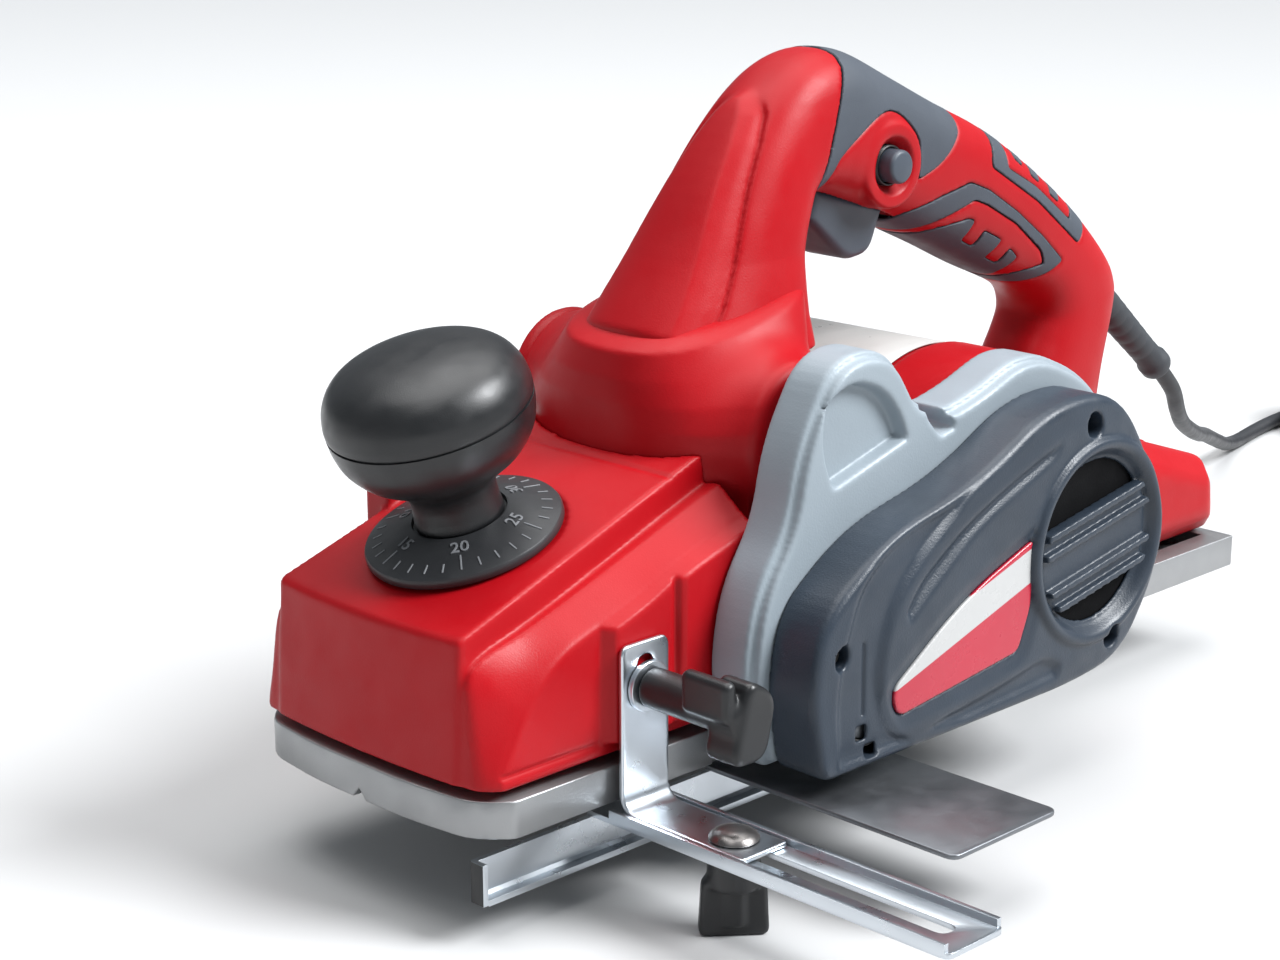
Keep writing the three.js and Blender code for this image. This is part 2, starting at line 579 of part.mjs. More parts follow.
// ---------------------------------------------------------------- edge guide
function guideBracket() {
  const { x, width, plate, face, leg, top } = GUIDE;
  const low = -1.7;
  const bend = 8;
  const strip = [
    [face, top], [face, low + bend], [face - 2.4, low + 2.4], [face - bend, low], [leg, low],
    [leg, low - plate], [face - bend + 0.6, low - plate], [face - 0.5, low + 0.9],
    [face + plate, low + bend], [face + plate, top],
  ];
  const half = width / 2;
  const flat = slabX(strip, x - half, x + half);
  const corners = cut(
    block(x - 20, x + 20, -10, 0, top - 3, top + 5),
    slabY([[x - half, 0], [x + half, 0], [x + half, top, 4], [x - half, top, 4]], -20, 5),
  );
  const slotLine = [[x - 3.4, 34.6, 3.3], [x + 3.4, 34.6, 3.3], [x + 3.4, 48, 3.3], [x - 3.4, 48, 3.3]];
  const square = block(x - 3.6, x + 3.6, BOLT_Y - 3.6, BOLT_Y + 3.6, -6, 4);
  return cut(flat, corners, slabY(slotLine, -20, 5), square);
}

function guideBar() {
  const { width, y0, y1, webTop, lip, thick } = BAR;
  const [low, high] = [GUIDE.x - width / 2, GUIDE.x + width / 2];
  const web = slabZ([[low, y0, 3], [high, y0, 3], [high, y1], [low, y1]], webTop - thick, webTop);
  const lips = [low, high - thick].map((x) =>
    block(x, x + thick, y0 + 1.5, -1.2, webTop - 0.2, webTop + lip - thick));
  const [a, b] = [GUIDE.x - 3.6, GUIDE.x + 3.6];
  const [outer, inner] = [y0 + 9, BOLT_Y + 5];
  const slotLine = [[a, outer, 3.5], [b, outer, 3.5], [b, inner, 3.5], [a, inner, 3.5]];
  const slot = slabZ(slotLine, webTop - 5, webTop + 5);
  return cut(join(web, ...lips), slot);
}

const RAIL = { y: 9.2, plate: 2, top: -6.2, bottom: -20, lip: 6.4, x0: -7, x1: 150 };

function fenceRail() {
  const { y, plate, top, bottom, lip, x0, x1 } = RAIL;
  const strip = [
    [y, top], [y, bottom + 4], [y, bottom, 3], [y - lip, bottom], [y - lip, bottom + plate],
    [y - plate - 1, bottom + plate], [y - plate, bottom + plate + 1], [y - plate, top],
  ];
  const flapLine = [
    [x0 + 1, y - plate], [x0 + 1, y], [x0 - 2, y, 1.5], [x0 - 2, y - lip], [x0, y - lip], [x0, y - plate],
  ];
  return join(slabX(strip, x0, x1, 4), slabZ(flapLine, bottom + 0.4, top));
}

const guardPlate = () =>
  slabZ([[93, -96, 4], [145, -96, 4], [145, 8.6], [93, 8.6]], BAR.webTop - BAR.thick, BAR.webTop);

function carriageBolt() {
  const { x } = GUIDE;
  const dome = turned([[0, 0], [8, 0], [6.5, 1.6], [3.5, 2.9], [0, 3.2]], 24);
  const neck = block(x - 3.2, x + 3.2, BOLT_Y - 3.2, BOLT_Y + 3.2, -5.6, -1);
  const shank = rod([x, BOLT_Y, -27], [x, BOLT_Y, -5], 2.8, 16);
  return join(solid(dome.translate(x, BOLT_Y, -1.4)), neck, shank);
}

function wingNut() {
  const { x } = GUIDE;
  const collar = rod([x, BOLT_Y, -17], [x, BOLT_Y, -6.1], 8.3, 24, 7.6);
  const blade = outline([[-11, -33, 2], [11, -33, 2], [10, -14, 2], [-10, -14, 2]]);
  const grip = extrude(blade, 6, 3).translate(0, 0, -3).rotateX(Math.PI / 2);
  grip.rotateZ(THREE.MathUtils.degToRad(-40)).translate(x, BOLT_Y, 0);
  return cut(join(collar, solid(grip)), rod([x, BOLT_Y, -28], [x, BOLT_Y, 0], 3.1, 16));
}

function clampScrew() {
  const { x, screwZ: z, face } = GUIDE;
  const barrel = rodY(x, z, -50, face - 2.6, 6.3, 28);
  const grip = [[-9, -13, 5], [6, -14, 6], [11, 6, 6], [-2, 14, 6]].map(([u, v, r]) => [x + u, z + v, r]);
  return join(barrel, slabY(grip, -51, -36, 4), rodY(x, z, face - 3, 12, 2.7, 14));
}

const clampWasher = () =>
  ringY(GUIDE.x, GUIDE.screwZ, GUIDE.face - 2.3, GUIDE.face - GAP, 8.2, 3.2, 28);

// ---------------------------------------------------------------- cord
const RELIEF = { from: [357, MID_Y, 115.7], to: [416, MID_Y, 67.5] };

function strainRelief() {
  const [from, to] = [new THREE.Vector3(...RELIEF.from), new THREE.Vector3(...RELIEF.to)];
  const at = (t) => from.clone().lerp(to, t).toArray();
  const sleeve = rod(at(0), at(0.95), 6, 16, 5.2);
  const collar = rod(at(0.92), at(1), 6.6, 16, 5.8);
  return cut(join(sleeve, collar), rod(at(-0.2), at(0.4), 3.4, 12));
}

// The cord's route from the strain relief to its coil, point by point.
const CORD_ROUTE = [
  [416.3, 58.5, 67.2], [424, 59, 60.6], [432, 60.5, 53.5], [444, 66, 42.5], [462, 75, 32], [486, 86, 22],
  [515, 101, 12], [545, 117, 3], [575, 133, -7], [604, 147, -17], [628, 157.5, -25], [650, 165, -29],
  [672, 170, -29.4], [695, 173.8, -29.4], [718, 175.8, -29.4], [741.6, 176.3, -29.4],
];

function powerCord() {
  const points = CORD_ROUTE.map((p) => new THREE.Vector3(...p));
  const route = new THREE.CatmullRomCurve3(points, false, "centripetal");
  const round = new THREE.Shape().absarc(0, 0, CORD.diameter / 2, 0, 2 * Math.PI);
  const steps = Math.round(route.getLength() / CORD.step);
  const options = { extrudePath: route, steps, curveSegments: CORD.sides / 2, bevelEnabled: false };
  return solid(new THREE.ExtrudeGeometry(round, options));
}

function cordCoil() {
  const [inner, outer] = [COIL.mean - COIL.width / 2, COIL.mean + COIL.width / 2];
  const [low, high] = [FLOOR, FLOOR + COIL.height];
  const profile = [
    [inner, low + 3], [inner + 3, low], [outer - 3, low], [outer, low + 3],
    [outer, high - 3], [outer - 3, high], [inner + 3, high], [inner, high - 3], [inner, low + 3],
  ];
  const entry = block(COIL.x - 60, COIL.x + GAP, COIL.y + 35, COIL.y + 60, FLOOR - 1, FLOOR + 7.4);
  return cut(solid(turned(profile, 28).translate(COIL.x, COIL.y, 0)), entry);
}

// The plug lies flat on the coil and points along -X, with its two pins level.
const PLUG = { x: 723, y: 92, z: FLOOR + COIL.height + GAP, length: 42, width: 28, height: 15 };
const PIN_OFFSETS = [-6.5, 6.5];

function plugBody() {
  const { x, y, z, length, width, height } = PLUG;
  const [back, shoulder, face] = [x + length * 0.4, x - length * 0.1, x - length / 2];
  const half = width / 2;
  const plan = [
    [back, y - 5.5, 3], [shoulder, y - half, 8], [face, y - half, 3],
    [face, y + half, 3], [shoulder, y + half, 8], [back, y + 5.5, 3],
  ];
  const middle = z + height / 2;
  const sleeve = rod([back + 20, y, middle], [back - 4, y, middle], 4, 16, 5.5);
  const sockets = PIN_OFFSETS.map((dy) =>
    block(face - 1, face + 4, y + dy - 3.6, y + dy + 3.6, middle - 1.1, middle + 1.1));
  return cut(join(slabZ(plan, z, z + height), sleeve), ...sockets);
}

function plugPin(dy) {
  const { x, y, z, length, height } = PLUG;
  const [from, to] = [x - length / 2 - 17, x - length / 2 + 3.7];
  return block(from, to, y + dy - 3.2, y + dy + 3.2, z + height / 2 - 0.75, z + height / 2 + 0.75);
}

// ---------------------------------------------------------------- the machine
add("front_shoe", frontShoe(), paint(ALUMINIUM, 0.45, 0.8));
add("base_casting", baseCasting(), paint(ALUMINIUM, 0.45, 0.8));
add("drive_casting", driveCasting(), paint(ALUMINIUM, 0.5, 0.6));
add("front_housing", frontHousing(), paint(RED, 0.45));
add("turret_housing", turretHousing(), paint(RED, 0.45));
add("motor_housing", motorHousing(), paint(RED, 0.45));
add("tail_housing", tailHousing(), paint(RED, 0.45));
add("rating_plate", ratingPlate(), paint(0xeeeeea, 0.4));

const [nearShell, farShell] = handleShells();
add("handle_shell_left", nearShell, paint(RED, 0.45));
add("handle_shell_right", farShell, paint(RED, 0.45));
add("front_grip_wrap", gripWrap(4, 7), paint(SLATE, 0.75));
add("rear_grip_wrap", gripWrap(8, 11), paint(SLATE, 0.75));
add("trigger", triggerLever(), paint(SLATE, 0.5));
add("lock_button", lockButton(), paint(SLATE, 0.5));
add("switch_body", block(196, 226, MID_Y - 5.5, MID_Y + 8, 181, 196), paint(BLACK, 0.6));
add("strain_relief", strainRelief(), paint(BLACK, 0.6));

add("depth_knob", knobHead(), paint(BLACK, 0.4));
add("depth_dial", knobDial(), paint(BLACK, 0.5));
add("depth_spindle", join(knobRod(-46, 7.6, 4, 16), knobRod(-14, -9, 4.6, 16)), paint(STEEL, 0.3, 1));

add("belt_cover", beltCover(), paint(COVER_BLUE, 0.5));
add("cover_badge", slabY(BADGE, COVER.y0 + 0.3, COVER.y0 + 1.2, 4), paint(0xdddddd, 0.4));
COVER_SCREWS.forEach((place, i) => add(`cover_screw_${i + 1}`, coverScrew(place), paint(STEEL, 0.4, 1)));
add("drive_belt", driveBelt(), paint(BLACK, 0.8));
add("drum_pulley", pulley(DRUM, PULLEY.drum), paint(STEEL, 0.4, 1));
add("motor_pulley", pulley(MOTOR, PULLEY.motor), paint(STEEL, 0.4, 1));

const drum = drumPieces();
add("cutter_drum", drum.core, paint(STEEL, 0.4, 1));
drum.blades.forEach((shape, i) => add(`blade_${i + 1}`, shape, paint(ZINC, 0.2, 1)));
drum.clamps.forEach((shape, i) => add(`blade_clamp_${i + 1}`, shape, paint(STEEL, 0.4, 1)));
add("drum_shaft", rodY(DRUM.x, DRUM.z, -41, SOLE.width - 0.5, DRUM.shaft, 20), paint(STEEL, 0.3, 1));
const drumBearing = (y0, y1) => ringY(DRUM.x, DRUM.z, y0, y1, 11, DRUM.shaft + GAP);
add("drum_bearing_near", drumBearing(-20, -8), paint(STEEL, 0.3, 1));
add("drum_bearing_far", drumBearing(SOLE.width - 3.2, SOLE.width), paint(STEEL, 0.3, 1));

add("stator", stator(), paint(STEEL, 0.5, 0.8));
add("armature", armature(), paint(0x7a4a2a, 0.5, 0.6));
add("commutator", ringY(MOTOR.x, MOTOR.z, 82, 97, 12.5, MOTOR.shaft + GAP), paint(0xb87333, 0.3, 1));
add("motor_shaft", rodY(MOTOR.x, MOTOR.z, -41, 110, MOTOR.shaft, 20), paint(STEEL, 0.3, 1));
add("cooling_fan", coolingFan(), paint(BLACK, 0.6));
add("motor_bearing_near", ringY(MOTOR.x, MOTOR.z, -23, -17.3, 11, MOTOR.shaft + GAP), paint(STEEL, 0.3, 1));
add("motor_bearing_far", ringY(MOTOR.x, MOTOR.z, 101, 107, 11, MOTOR.shaft + GAP), paint(STEEL, 0.3, 1));
[-1, 1].forEach((side) => {
  add(side < 0 ? "brush_holder_front" : "brush_holder_rear", brushHolder(side), paint(0xa8863a, 0.4, 1));
});

add("guide_bracket", guideBracket(), paint(ZINC, 0.3, 1));
add("clamp_washer", clampWasher(), paint(ZINC, 0.3, 1));
add("clamp_screw", clampScrew(), paint(BLACK, 0.5));
add("carriage_bolt", carriageBolt(), paint(STEEL, 0.35, 1));
add("wing_nut", wingNut(), paint(BLACK, 0.5));
add("guide_bar", guideBar(), paint(ZINC, 0.3, 1));
add("fence_rail", fenceRail(), paint(ZINC, 0.3, 1));
add("guard_plate", guardPlate(), paint(STEEL, 0.4, 1));

add("power_cord", powerCord(), paint(BLACK, 0.7));
add("cord_coil", cordCoil(), paint(BLACK, 0.7));
add("plug_body", plugBody(), paint(BLACK, 0.5));
PIN_OFFSETS.forEach((dy, i) => add(`plug_pin_${i + 1}`, plugPin(dy), paint(0xc9a24a, 0.3, 1)));

// Stand the machine on z = 0 and centre it, leaving the loose cord out of the measurement.
const CORD_NODES = ["power_cord", "cord_coil", "plug_body", "plug_pin_1", "plug_pin_2"];
const bounds = new THREE.Box3();
nodes.children
  .filter((mesh) => !CORD_NODES.includes(mesh.name))
  .forEach((mesh) => bounds.expandByObject(mesh));
const middle = bounds.getCenter(new THREE.Vector3());
nodes.position.set(-middle.x, -middle.y, -bounds.min.z);

export default machine;
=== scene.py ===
"""Looks of an electric hand planer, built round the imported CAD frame.

Shapes are sculpted in the design frame: millimetres, x = 0 at the near front corner of the sole,
y = 0 at its near side and z = 0 at the sole. place() takes that frame to the row frame in metres.
"""
import math

import bmesh
import bpy
import numpy as np
from mathutils import Matrix, Vector


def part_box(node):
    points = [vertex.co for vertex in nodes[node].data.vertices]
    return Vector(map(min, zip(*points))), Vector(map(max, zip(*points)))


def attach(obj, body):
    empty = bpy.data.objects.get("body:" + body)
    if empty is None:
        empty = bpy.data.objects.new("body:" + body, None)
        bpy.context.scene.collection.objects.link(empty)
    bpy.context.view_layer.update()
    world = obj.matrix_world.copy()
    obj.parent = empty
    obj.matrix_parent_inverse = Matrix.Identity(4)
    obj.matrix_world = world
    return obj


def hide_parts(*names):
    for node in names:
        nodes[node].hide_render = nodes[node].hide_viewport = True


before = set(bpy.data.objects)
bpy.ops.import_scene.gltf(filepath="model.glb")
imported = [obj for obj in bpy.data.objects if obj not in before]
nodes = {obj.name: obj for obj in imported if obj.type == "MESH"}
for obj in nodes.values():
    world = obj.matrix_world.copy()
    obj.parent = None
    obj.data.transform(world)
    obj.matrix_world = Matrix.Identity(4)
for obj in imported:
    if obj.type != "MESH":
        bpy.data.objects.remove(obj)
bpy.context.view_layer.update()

MM = 0.001
SOLE_LOW, SOLE_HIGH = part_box("base_casting")
SOLE_LENGTH, SOLE_WIDTH = 389, 117
ORIGIN = np.array([SOLE_HIGH.x - SOLE_LENGTH * MM, SOLE_HIGH.y - SOLE_WIDTH * MM, SOLE_LOW.z])

# Driving places and sizes in the design frame. The body is symmetrical about MID_Y.
MID_Y = 58.5
TOP_SLOPE = 0.345
KNOB_AT, KNOB_TILT = (35.0, MID_Y, 76.0), math.radians(17.5)
KNOB_AXIS = (-math.sin(KNOB_TILT), 0.0, math.cos(KNOB_TILT))
MOTOR_X, MOTOR_Z, MOTOR_R = 225.0, 55.0, 59.0
CHANNEL_X, CHANNEL_Z = 133.0, 101.5
GRILLE_X, GRILLE_Z = 232.0, 54.0
LOCK_X, LOCK_Z = 217.0, 176.3
GUIDE_X, CLAMP_Z, BOLT_Y = 52.5, 38, -43
NEAR = (0, -1, 0)   # the direction that the belt cover faces


def place(points):
    """Design frame in mm to row frame in metres."""
    return np.asarray(points, float) * MM + ORIGIN


# ---------------------------------------------------------------- camera
CAMERA_AT = (-485.07, -547.24, 320.58)
CAMERA_TURN, CAMERA_RISE, CAMERA_ROLL = (math.radians(angle) for angle in (-44.6218, 15.8379, -0.1195))


def add_to_scene(name, data):
    obj = bpy.data.objects.new(name, data)
    bpy.context.scene.collection.objects.link(obj)
    return obj


def axes(x, y, z):
    """A turn that takes the world's axes to these three."""
    return Matrix((x, y, z)).transposed().to_4x4()


def add_camera():
    data = bpy.data.cameras.new("camera")
    data.sensor_width = 36
    data.lens = 73.66
    data.clip_end = 50
    level = math.cos(CAMERA_RISE)
    back = Vector((math.sin(CAMERA_TURN) * level, -math.cos(CAMERA_TURN) * level, math.sin(CAMERA_RISE)))
    right = Vector((0, 0, 1)).cross(back).normalized()
    up = back.cross(right)
    c, s = math.cos(CAMERA_ROLL), math.sin(CAMERA_ROLL)
    camera = add_to_scene("camera", data)
    camera.matrix_world = Matrix.Translation(Vector(place(CAMERA_AT))) @ axes(
        c * right + s * up, c * up - s * right, back)
    bpy.context.scene.camera = camera


add_camera()


# ---------------------------------------------------------------- materials
class Finish:
    """One procedural material: base colour, mottling, grain and rubbed roughness."""

    def __init__(self, name, colour, rough, metal=0.0, grain=(1500, 0.1), mottle=(60, 0.08),
                 rough_spread=0.08, specular=0.5, coat=0.0, brushed=None):
        self.mat = bpy.data.materials.new(name)
        self.mat.use_nodes = True
        self.tree = self.mat.node_tree
        self.shader = self.tree.nodes["Principled BSDF"]
        self.shader.inputs["Metallic"].default_value = metal
        self.shader.inputs["Specular IOR Level"].default_value = specular
        self.shader.inputs["Coat Weight"].default_value = coat
        self.shader.inputs["Coat Roughness"].default_value = 0.25
        self.place = self.node("ShaderNodeTexCoord").outputs["Object"]
        if brushed:
            mapping = self.node("ShaderNodeMapping")
            mapping.inputs["Scale"].default_value = brushed
            self.link(self.place, mapping.inputs["Vector"])
            self.fine_place = mapping.outputs["Vector"]
        else:
            self.fine_place = self.place
        spots = self.noise(mottle[0], 3.0)
        _, _, shade, self.colour = self.mix("MULTIPLY", 1.0, (*colour, 1), (1, 1, 1, 1))
        self.link(self.ramp(spots, 0.3, 0.7, 1 - mottle[1], 1 + mottle[1]), shade)
        self.link(self.colour, self.shader.inputs["Base Color"])
        rub = self.noise(mottle[0] * 3, 4.0)
        self.link(self.ramp(rub, 0.3, 0.7, rough - rough_spread, rough + rough_spread),
                  self.shader.inputs["Roughness"])
        bump = self.node("ShaderNodeBump")
        bump.inputs["Strength"].default_value = grain[1]
        bump.inputs["Distance"].default_value = 0.0003
        self.link(self.noise(grain[0], 2.0, fine=True), bump.inputs["Height"])
        self.link(bump.outputs["Normal"], self.shader.inputs["Normal"])

    def node(self, kind):
        return self.tree.nodes.new(kind)

    def link(self, a, b):
        self.tree.links.new(a, b)

    def noise(self, scale, detail, fine=False):
        texture = self.node("ShaderNodeTexNoise")
        texture.inputs["Scale"].default_value = scale
        texture.inputs["Detail"].default_value = detail
        self.link(self.fine_place if fine else self.place, texture.inputs["Vector"])
        return texture.outputs["Fac"]

    def ramp(self, value, low, high, to_low, to_high):
        mapped = self.node("ShaderNodeMapRange")
        for key, number in zip(("From Min", "From Max", "To Min", "To Max"), (low, high, to_low, to_high)):
            mapped.inputs[key].default_value = number
        self.link(value, mapped.inputs["Value"])
        return mapped.outputs["Result"]

    def mix(self, kind, factor, a, b):
        """A colour mix node's factor, its two colours and its result."""
        mixed = self.node("ShaderNodeMix")
        mixed.data_type = "RGBA"
        mixed.blend_type = kind
        mixed.clamp_result = False
        mixed.inputs["Factor"].default_value = factor
        first, second = [s for s in mixed.inputs if s.type == "RGBA"]
        first.default_value, second.default_value = a, b
        result = [s for s in mixed.outputs if s.type == "RGBA"][0]
        return mixed.inputs["Factor"], first, second, result

    def paint(self, colour, mark, clear, full):
        """Lays a colour over what there is, as the mesh's float mark goes from clear to full."""
        attribute = self.node("ShaderNodeAttribute")
        attribute.attribute_name = mark
        factor, under, _, result = self.mix("MIX", 0.0, (1, 1, 1, 1), (*colour, 1))
        self.link(self.colour, under)
        self.link(self.ramp(attribute.outputs["Fac"], clear, full, 0.0, 1.0), factor)
        self.colour = result
        self.link(result, self.shader.inputs["Base Color"])


RED_TONE = (0.37, 0.003, 0.007)
RED_SURFACE = {"rough": 0.42, "grain": (1900, 0.16), "mottle": (25, 0.05), "specular": 0.22}
RED = Finish("red_plastic", RED_TONE, **RED_SURFACE)
# The handle is black where a recess for a soft grip begins.
RED_HANDLE = Finish("red_plastic_seamed", RED_TONE, **RED_SURFACE)
RED_HANDLE.paint((0.012, 0.01, 0.012), "seam", 0.18, 0.05)
SLATE = Finish("slate_rubber", (0.052, 0.062, 0.078), 0.62, grain=(2200, 0.22), mottle=(40, 0.08),
               specular=0.4)
SLATE_HARD = Finish("slate_plastic", (0.05, 0.063, 0.082), 0.42, grain=(2400, 0.12), mottle=(40, 0.06))
BLACK = Finish("black_plastic", (0.011, 0.0115, 0.0125), 0.36, grain=(2600, 0.14), mottle=(40, 0.1))
COVER = Finish("cover_plastic", (0.021, 0.031, 0.046), 0.4, grain=(1500, 0.3), mottle=(40, 0.1))
CAST = Finish("cast_alloy", (0.27, 0.315, 0.35), 0.5, metal=0.1, grain=(1300, 0.22), mottle=(30, 0.04))
SOLE = Finish("sole_alloy", (0.34, 0.345, 0.35), 0.4, metal=0.7, grain=(1800, 0.2), mottle=(30, 0.06))
ZINC = Finish("zinc_steel", (0.6, 0.64, 0.68), 0.3, metal=1.0, grain=(700, 0.04), mottle=(30, 0.04),
              rough_spread=0.04, brushed=(1, 0.25, 1))
GUARD = Finish("dark_steel", (0.2, 0.21, 0.225), 0.4, metal=0.85, grain=(1500, 0.12), mottle=(35, 0.1))
STEEL = Finish("bright_steel", (0.6, 0.6, 0.61), 0.22, metal=1.0, grain=(700, 0.05), mottle=(60, 0.05))
BOLT = Finish("bolt_steel", (0.17, 0.16, 0.155), 0.33, metal=0.9, grain=(1400, 0.1), mottle=(70, 0.15))
# A near-black finish that paints the shade inside the grille.
GRILLE_SHADE = Finish("grille_painted_shade", (0.003, 0.003, 0.0035), 0.8, grain=(1500, 0.3), mottle=(60, 0.3),
                specular=0.1)
BELT = Finish("belt_rubber", (0.02, 0.02, 0.02), 0.7, grain=(1800, 0.2), mottle=(60, 0.15))
COPPER = Finish("copper", (0.65, 0.3, 0.16), 0.3, metal=1.0, grain=(900, 0.05), mottle=(60, 0.1))
BRASS = Finish("brass", (0.66, 0.5, 0.22), 0.28, metal=1.0, grain=(900, 0.05), mottle=(60, 0.1))
LAMINATE = Finish("lamination", (0.22, 0.2, 0.18), 0.45, metal=0.8, grain=(2000, 0.2), mottle=(60, 0.1),
                  brushed=(1, 6, 1))
CORD = Finish("cord_rubber", (0.022, 0.0235, 0.027), 0.48, grain=(1500, 0.15), mottle=(60, 0.1))
LABEL = Finish("white_label", (0.43, 0.42, 0.405), 0.35, grain=(2500, 0.04), mottle=(50, 0.02))
CORD_SLEEVE = Finish("sleeve_rubber", (0.032, 0.036, 0.042), 0.5, grain=(1800, 0.16), mottle=(60, 0.08))
DIAL = Finish("dial_plastic", (0.022, 0.023, 0.025), 0.42, grain=(2400, 0.14), mottle=(40, 0.08))
BADGE_PRINT = Finish("badge_print", (0.42, 0.008, 0.03), 0.3, grain=(2500, 0.04), mottle=(40, 0.04), coat=0.3)
BADGE_PRINT.paint((0.46, 0.46, 0.455), "band", 0.1, -0.1)
MARK = Finish("dial_mark", (0.16, 0.165, 0.175), 0.5, grain=(2500, 0.05), mottle=(60, 0.05))


# ---------------------------------------------------------------- sculpting in distance fields
class Field:
    """A regular grid in the design frame, with its axes ready to broadcast."""

    def __init__(self, low, high, step):
        self.low = np.array(low, np.float32)
        self.step = step
        counts = [int(math.ceil((b - a) / step)) + 1 for a, b in zip(low, high)]
        x, y, z = (a + step * np.arange(n, dtype=np.float32) for a, n in zip(low, counts))
        self.x, self.y, self.z = x[:, None, None], y[None, :, None], z[None, None, :]
        self.m = np.abs(self.y - MID_Y)

    def tilted(self, origin, angle):
        """Height along an axis through origin that leans towards -X, and distance from it."""
        dx, dz = self.x - origin[0], self.z - origin[2]
        height = dz * math.cos(angle) - dx * math.sin(angle)
        across = dz * math.sin(angle) + dx * math.cos(angle)
        return height, np.sqrt(across ** 2 + (self.y - origin[1]) ** 2)


def union(*fields):
    out = fields[0]
    for other in fields[1:]:
        out = np.minimum(out, other)
    return out


def meet(*fields):
    out = fields[0]
    for other in fields[1:]:
        out = np.maximum(out, other)
    return out


def carve(a, *tools):
    for tool in tools:
        a = np.maximum(a, -tool)
    return a


def blend(a, b, k):
    """Union of two fields with a fillet of about k."""
    h = np.clip(0.5 + 0.5 * (b - a) / k, 0, 1)
    return b + (a - b) * h - k * h * (1 - h)


def round_meet(a, b, r):
    """Intersection of two fields with a rounded edge of radius r. Deep inside it stays at -r."""
    outer = np.sqrt(np.maximum(a + r, 0) ** 2 + np.maximum(b + r, 0) ** 2) - r
    return np.maximum(outer, np.minimum(np.maximum(a, b), -r))


def step_up(value, start, end):
    """Smooth step from 0 at start to 1 at end."""
    t = np.clip((value - start) / (end - start), 0, 1)
    return t * t * (3 - 2 * t)


def poly(points, u, v):
    """Signed distance to a closed outline, negative inside."""
    pts = np.asarray(points, np.float32)
    best, inside = None, False
    for (a, b), (c, d) in zip(pts, np.roll(pts, -1, axis=0)):
        eu, ev = c - a, d - b
        length = eu * eu + ev * ev
        if length < 1e-9:
            continue
        wu, wv = u - a, v - b
        t = np.clip((wu * eu + wv * ev) / length, 0, 1)
        dist = (wu - t * eu) ** 2 + (wv - t * ev) ** 2
        best = dist if best is None else np.minimum(best, dist)
        if ev:
            inside = inside ^ (((b <= v) != (d <= v)) & (u < a + wv * eu / ev))
    return np.where(inside, -1, 1) * np.sqrt(best)


def disc(x0, z0, r, u, v):
    """Signed distance to a circle in two of the axes."""
    return np.sqrt((u - x0) ** 2 + (v - z0) ** 2) - r


def rounded(points, steps=6, reach_all=0):
    """An outline through (u, v, reach), each corner rounded by a quadratic curve over its reach."""
    pts = [(p[0], p[1], p[2] if len(p) > 2 else reach_all) for p in points]
    out = []
    for i, (u, v, r) in enumerate(pts):
        here = np.array([u, v], float)
        before, after = np.array(pts[i - 1][:2], float), np.array(pts[(i + 1) % len(pts)][:2], float)
        reach = min(r, np.linalg.norm(before - here) * 0.49, np.linalg.norm(after - here) * 0.49)
        if reach <= 0:
            out.append(here)
            continue
        start = here + (before - here) / np.linalg.norm(before - here) * reach
        end = here + (after - here) / np.linalg.norm(after - here) * reach
        for t in np.linspace(0, 1, steps):
            out.append((1 - t) ** 2 * start + 2 * t * (1 - t) * here + t * t * end)
    return np.array(out)


def spline(points, steps=6, closed=False):
    """A Catmull-Rom curve through the points."""
    pts = np.array(points, float)
    if closed:
        pts = np.vstack([pts[-1:], pts, pts[:2]])
    else:
        pts = np.vstack([2 * pts[0] - pts[1], pts, 2 * pts[-1] - pts[-2]])
    out = []
    for a, b, c, d in zip(pts[:-3], pts[1:-2], pts[2:-1], pts[3:]):
        for t in np.arange(steps) / steps:
            out.append(0.5 * (2 * b + (c - a) * t + (2 * a - 5 * b + 4 * c - d) * t ** 2
                              + (3 * b - a - 3 * c + d) * t ** 3))
    if not closed:
        out.append(pts[-2])
    return np.array(out)


def even_scale(f, step):
    """A field divided by its slope, so that it measures distance near its surface."""
    fx, fy, fz = np.gradient(f, step)
    return f / np.maximum(np.sqrt(fx * fx + fy * fy + fz * fz), 0.02)


CORNERS = np.array([(i, j, k) for i in (0, 1) for j in (0, 1) for k in (0, 1)])
CUBE_EDGES = [(a, b) for a in range(8) for b in range(a + 1, 8)
              if np.abs(CORNERS[a] - CORNERS[b]).sum() == 1]


def sample(f, g):
    """Value of f at grid coordinates g."""
    top = np.array(f.shape) - 2
    base = np.clip(np.floor(g).astype(int), 0, top)
    t = np.clip(g - base, 0, 1)
    out = 0
    for corner in CORNERS:
        i, j, k = (base + corner).T
        weight = np.prod(np.where(corner, t, 1 - t), axis=1)
        out = out + weight * f[i, j, k]
    return out


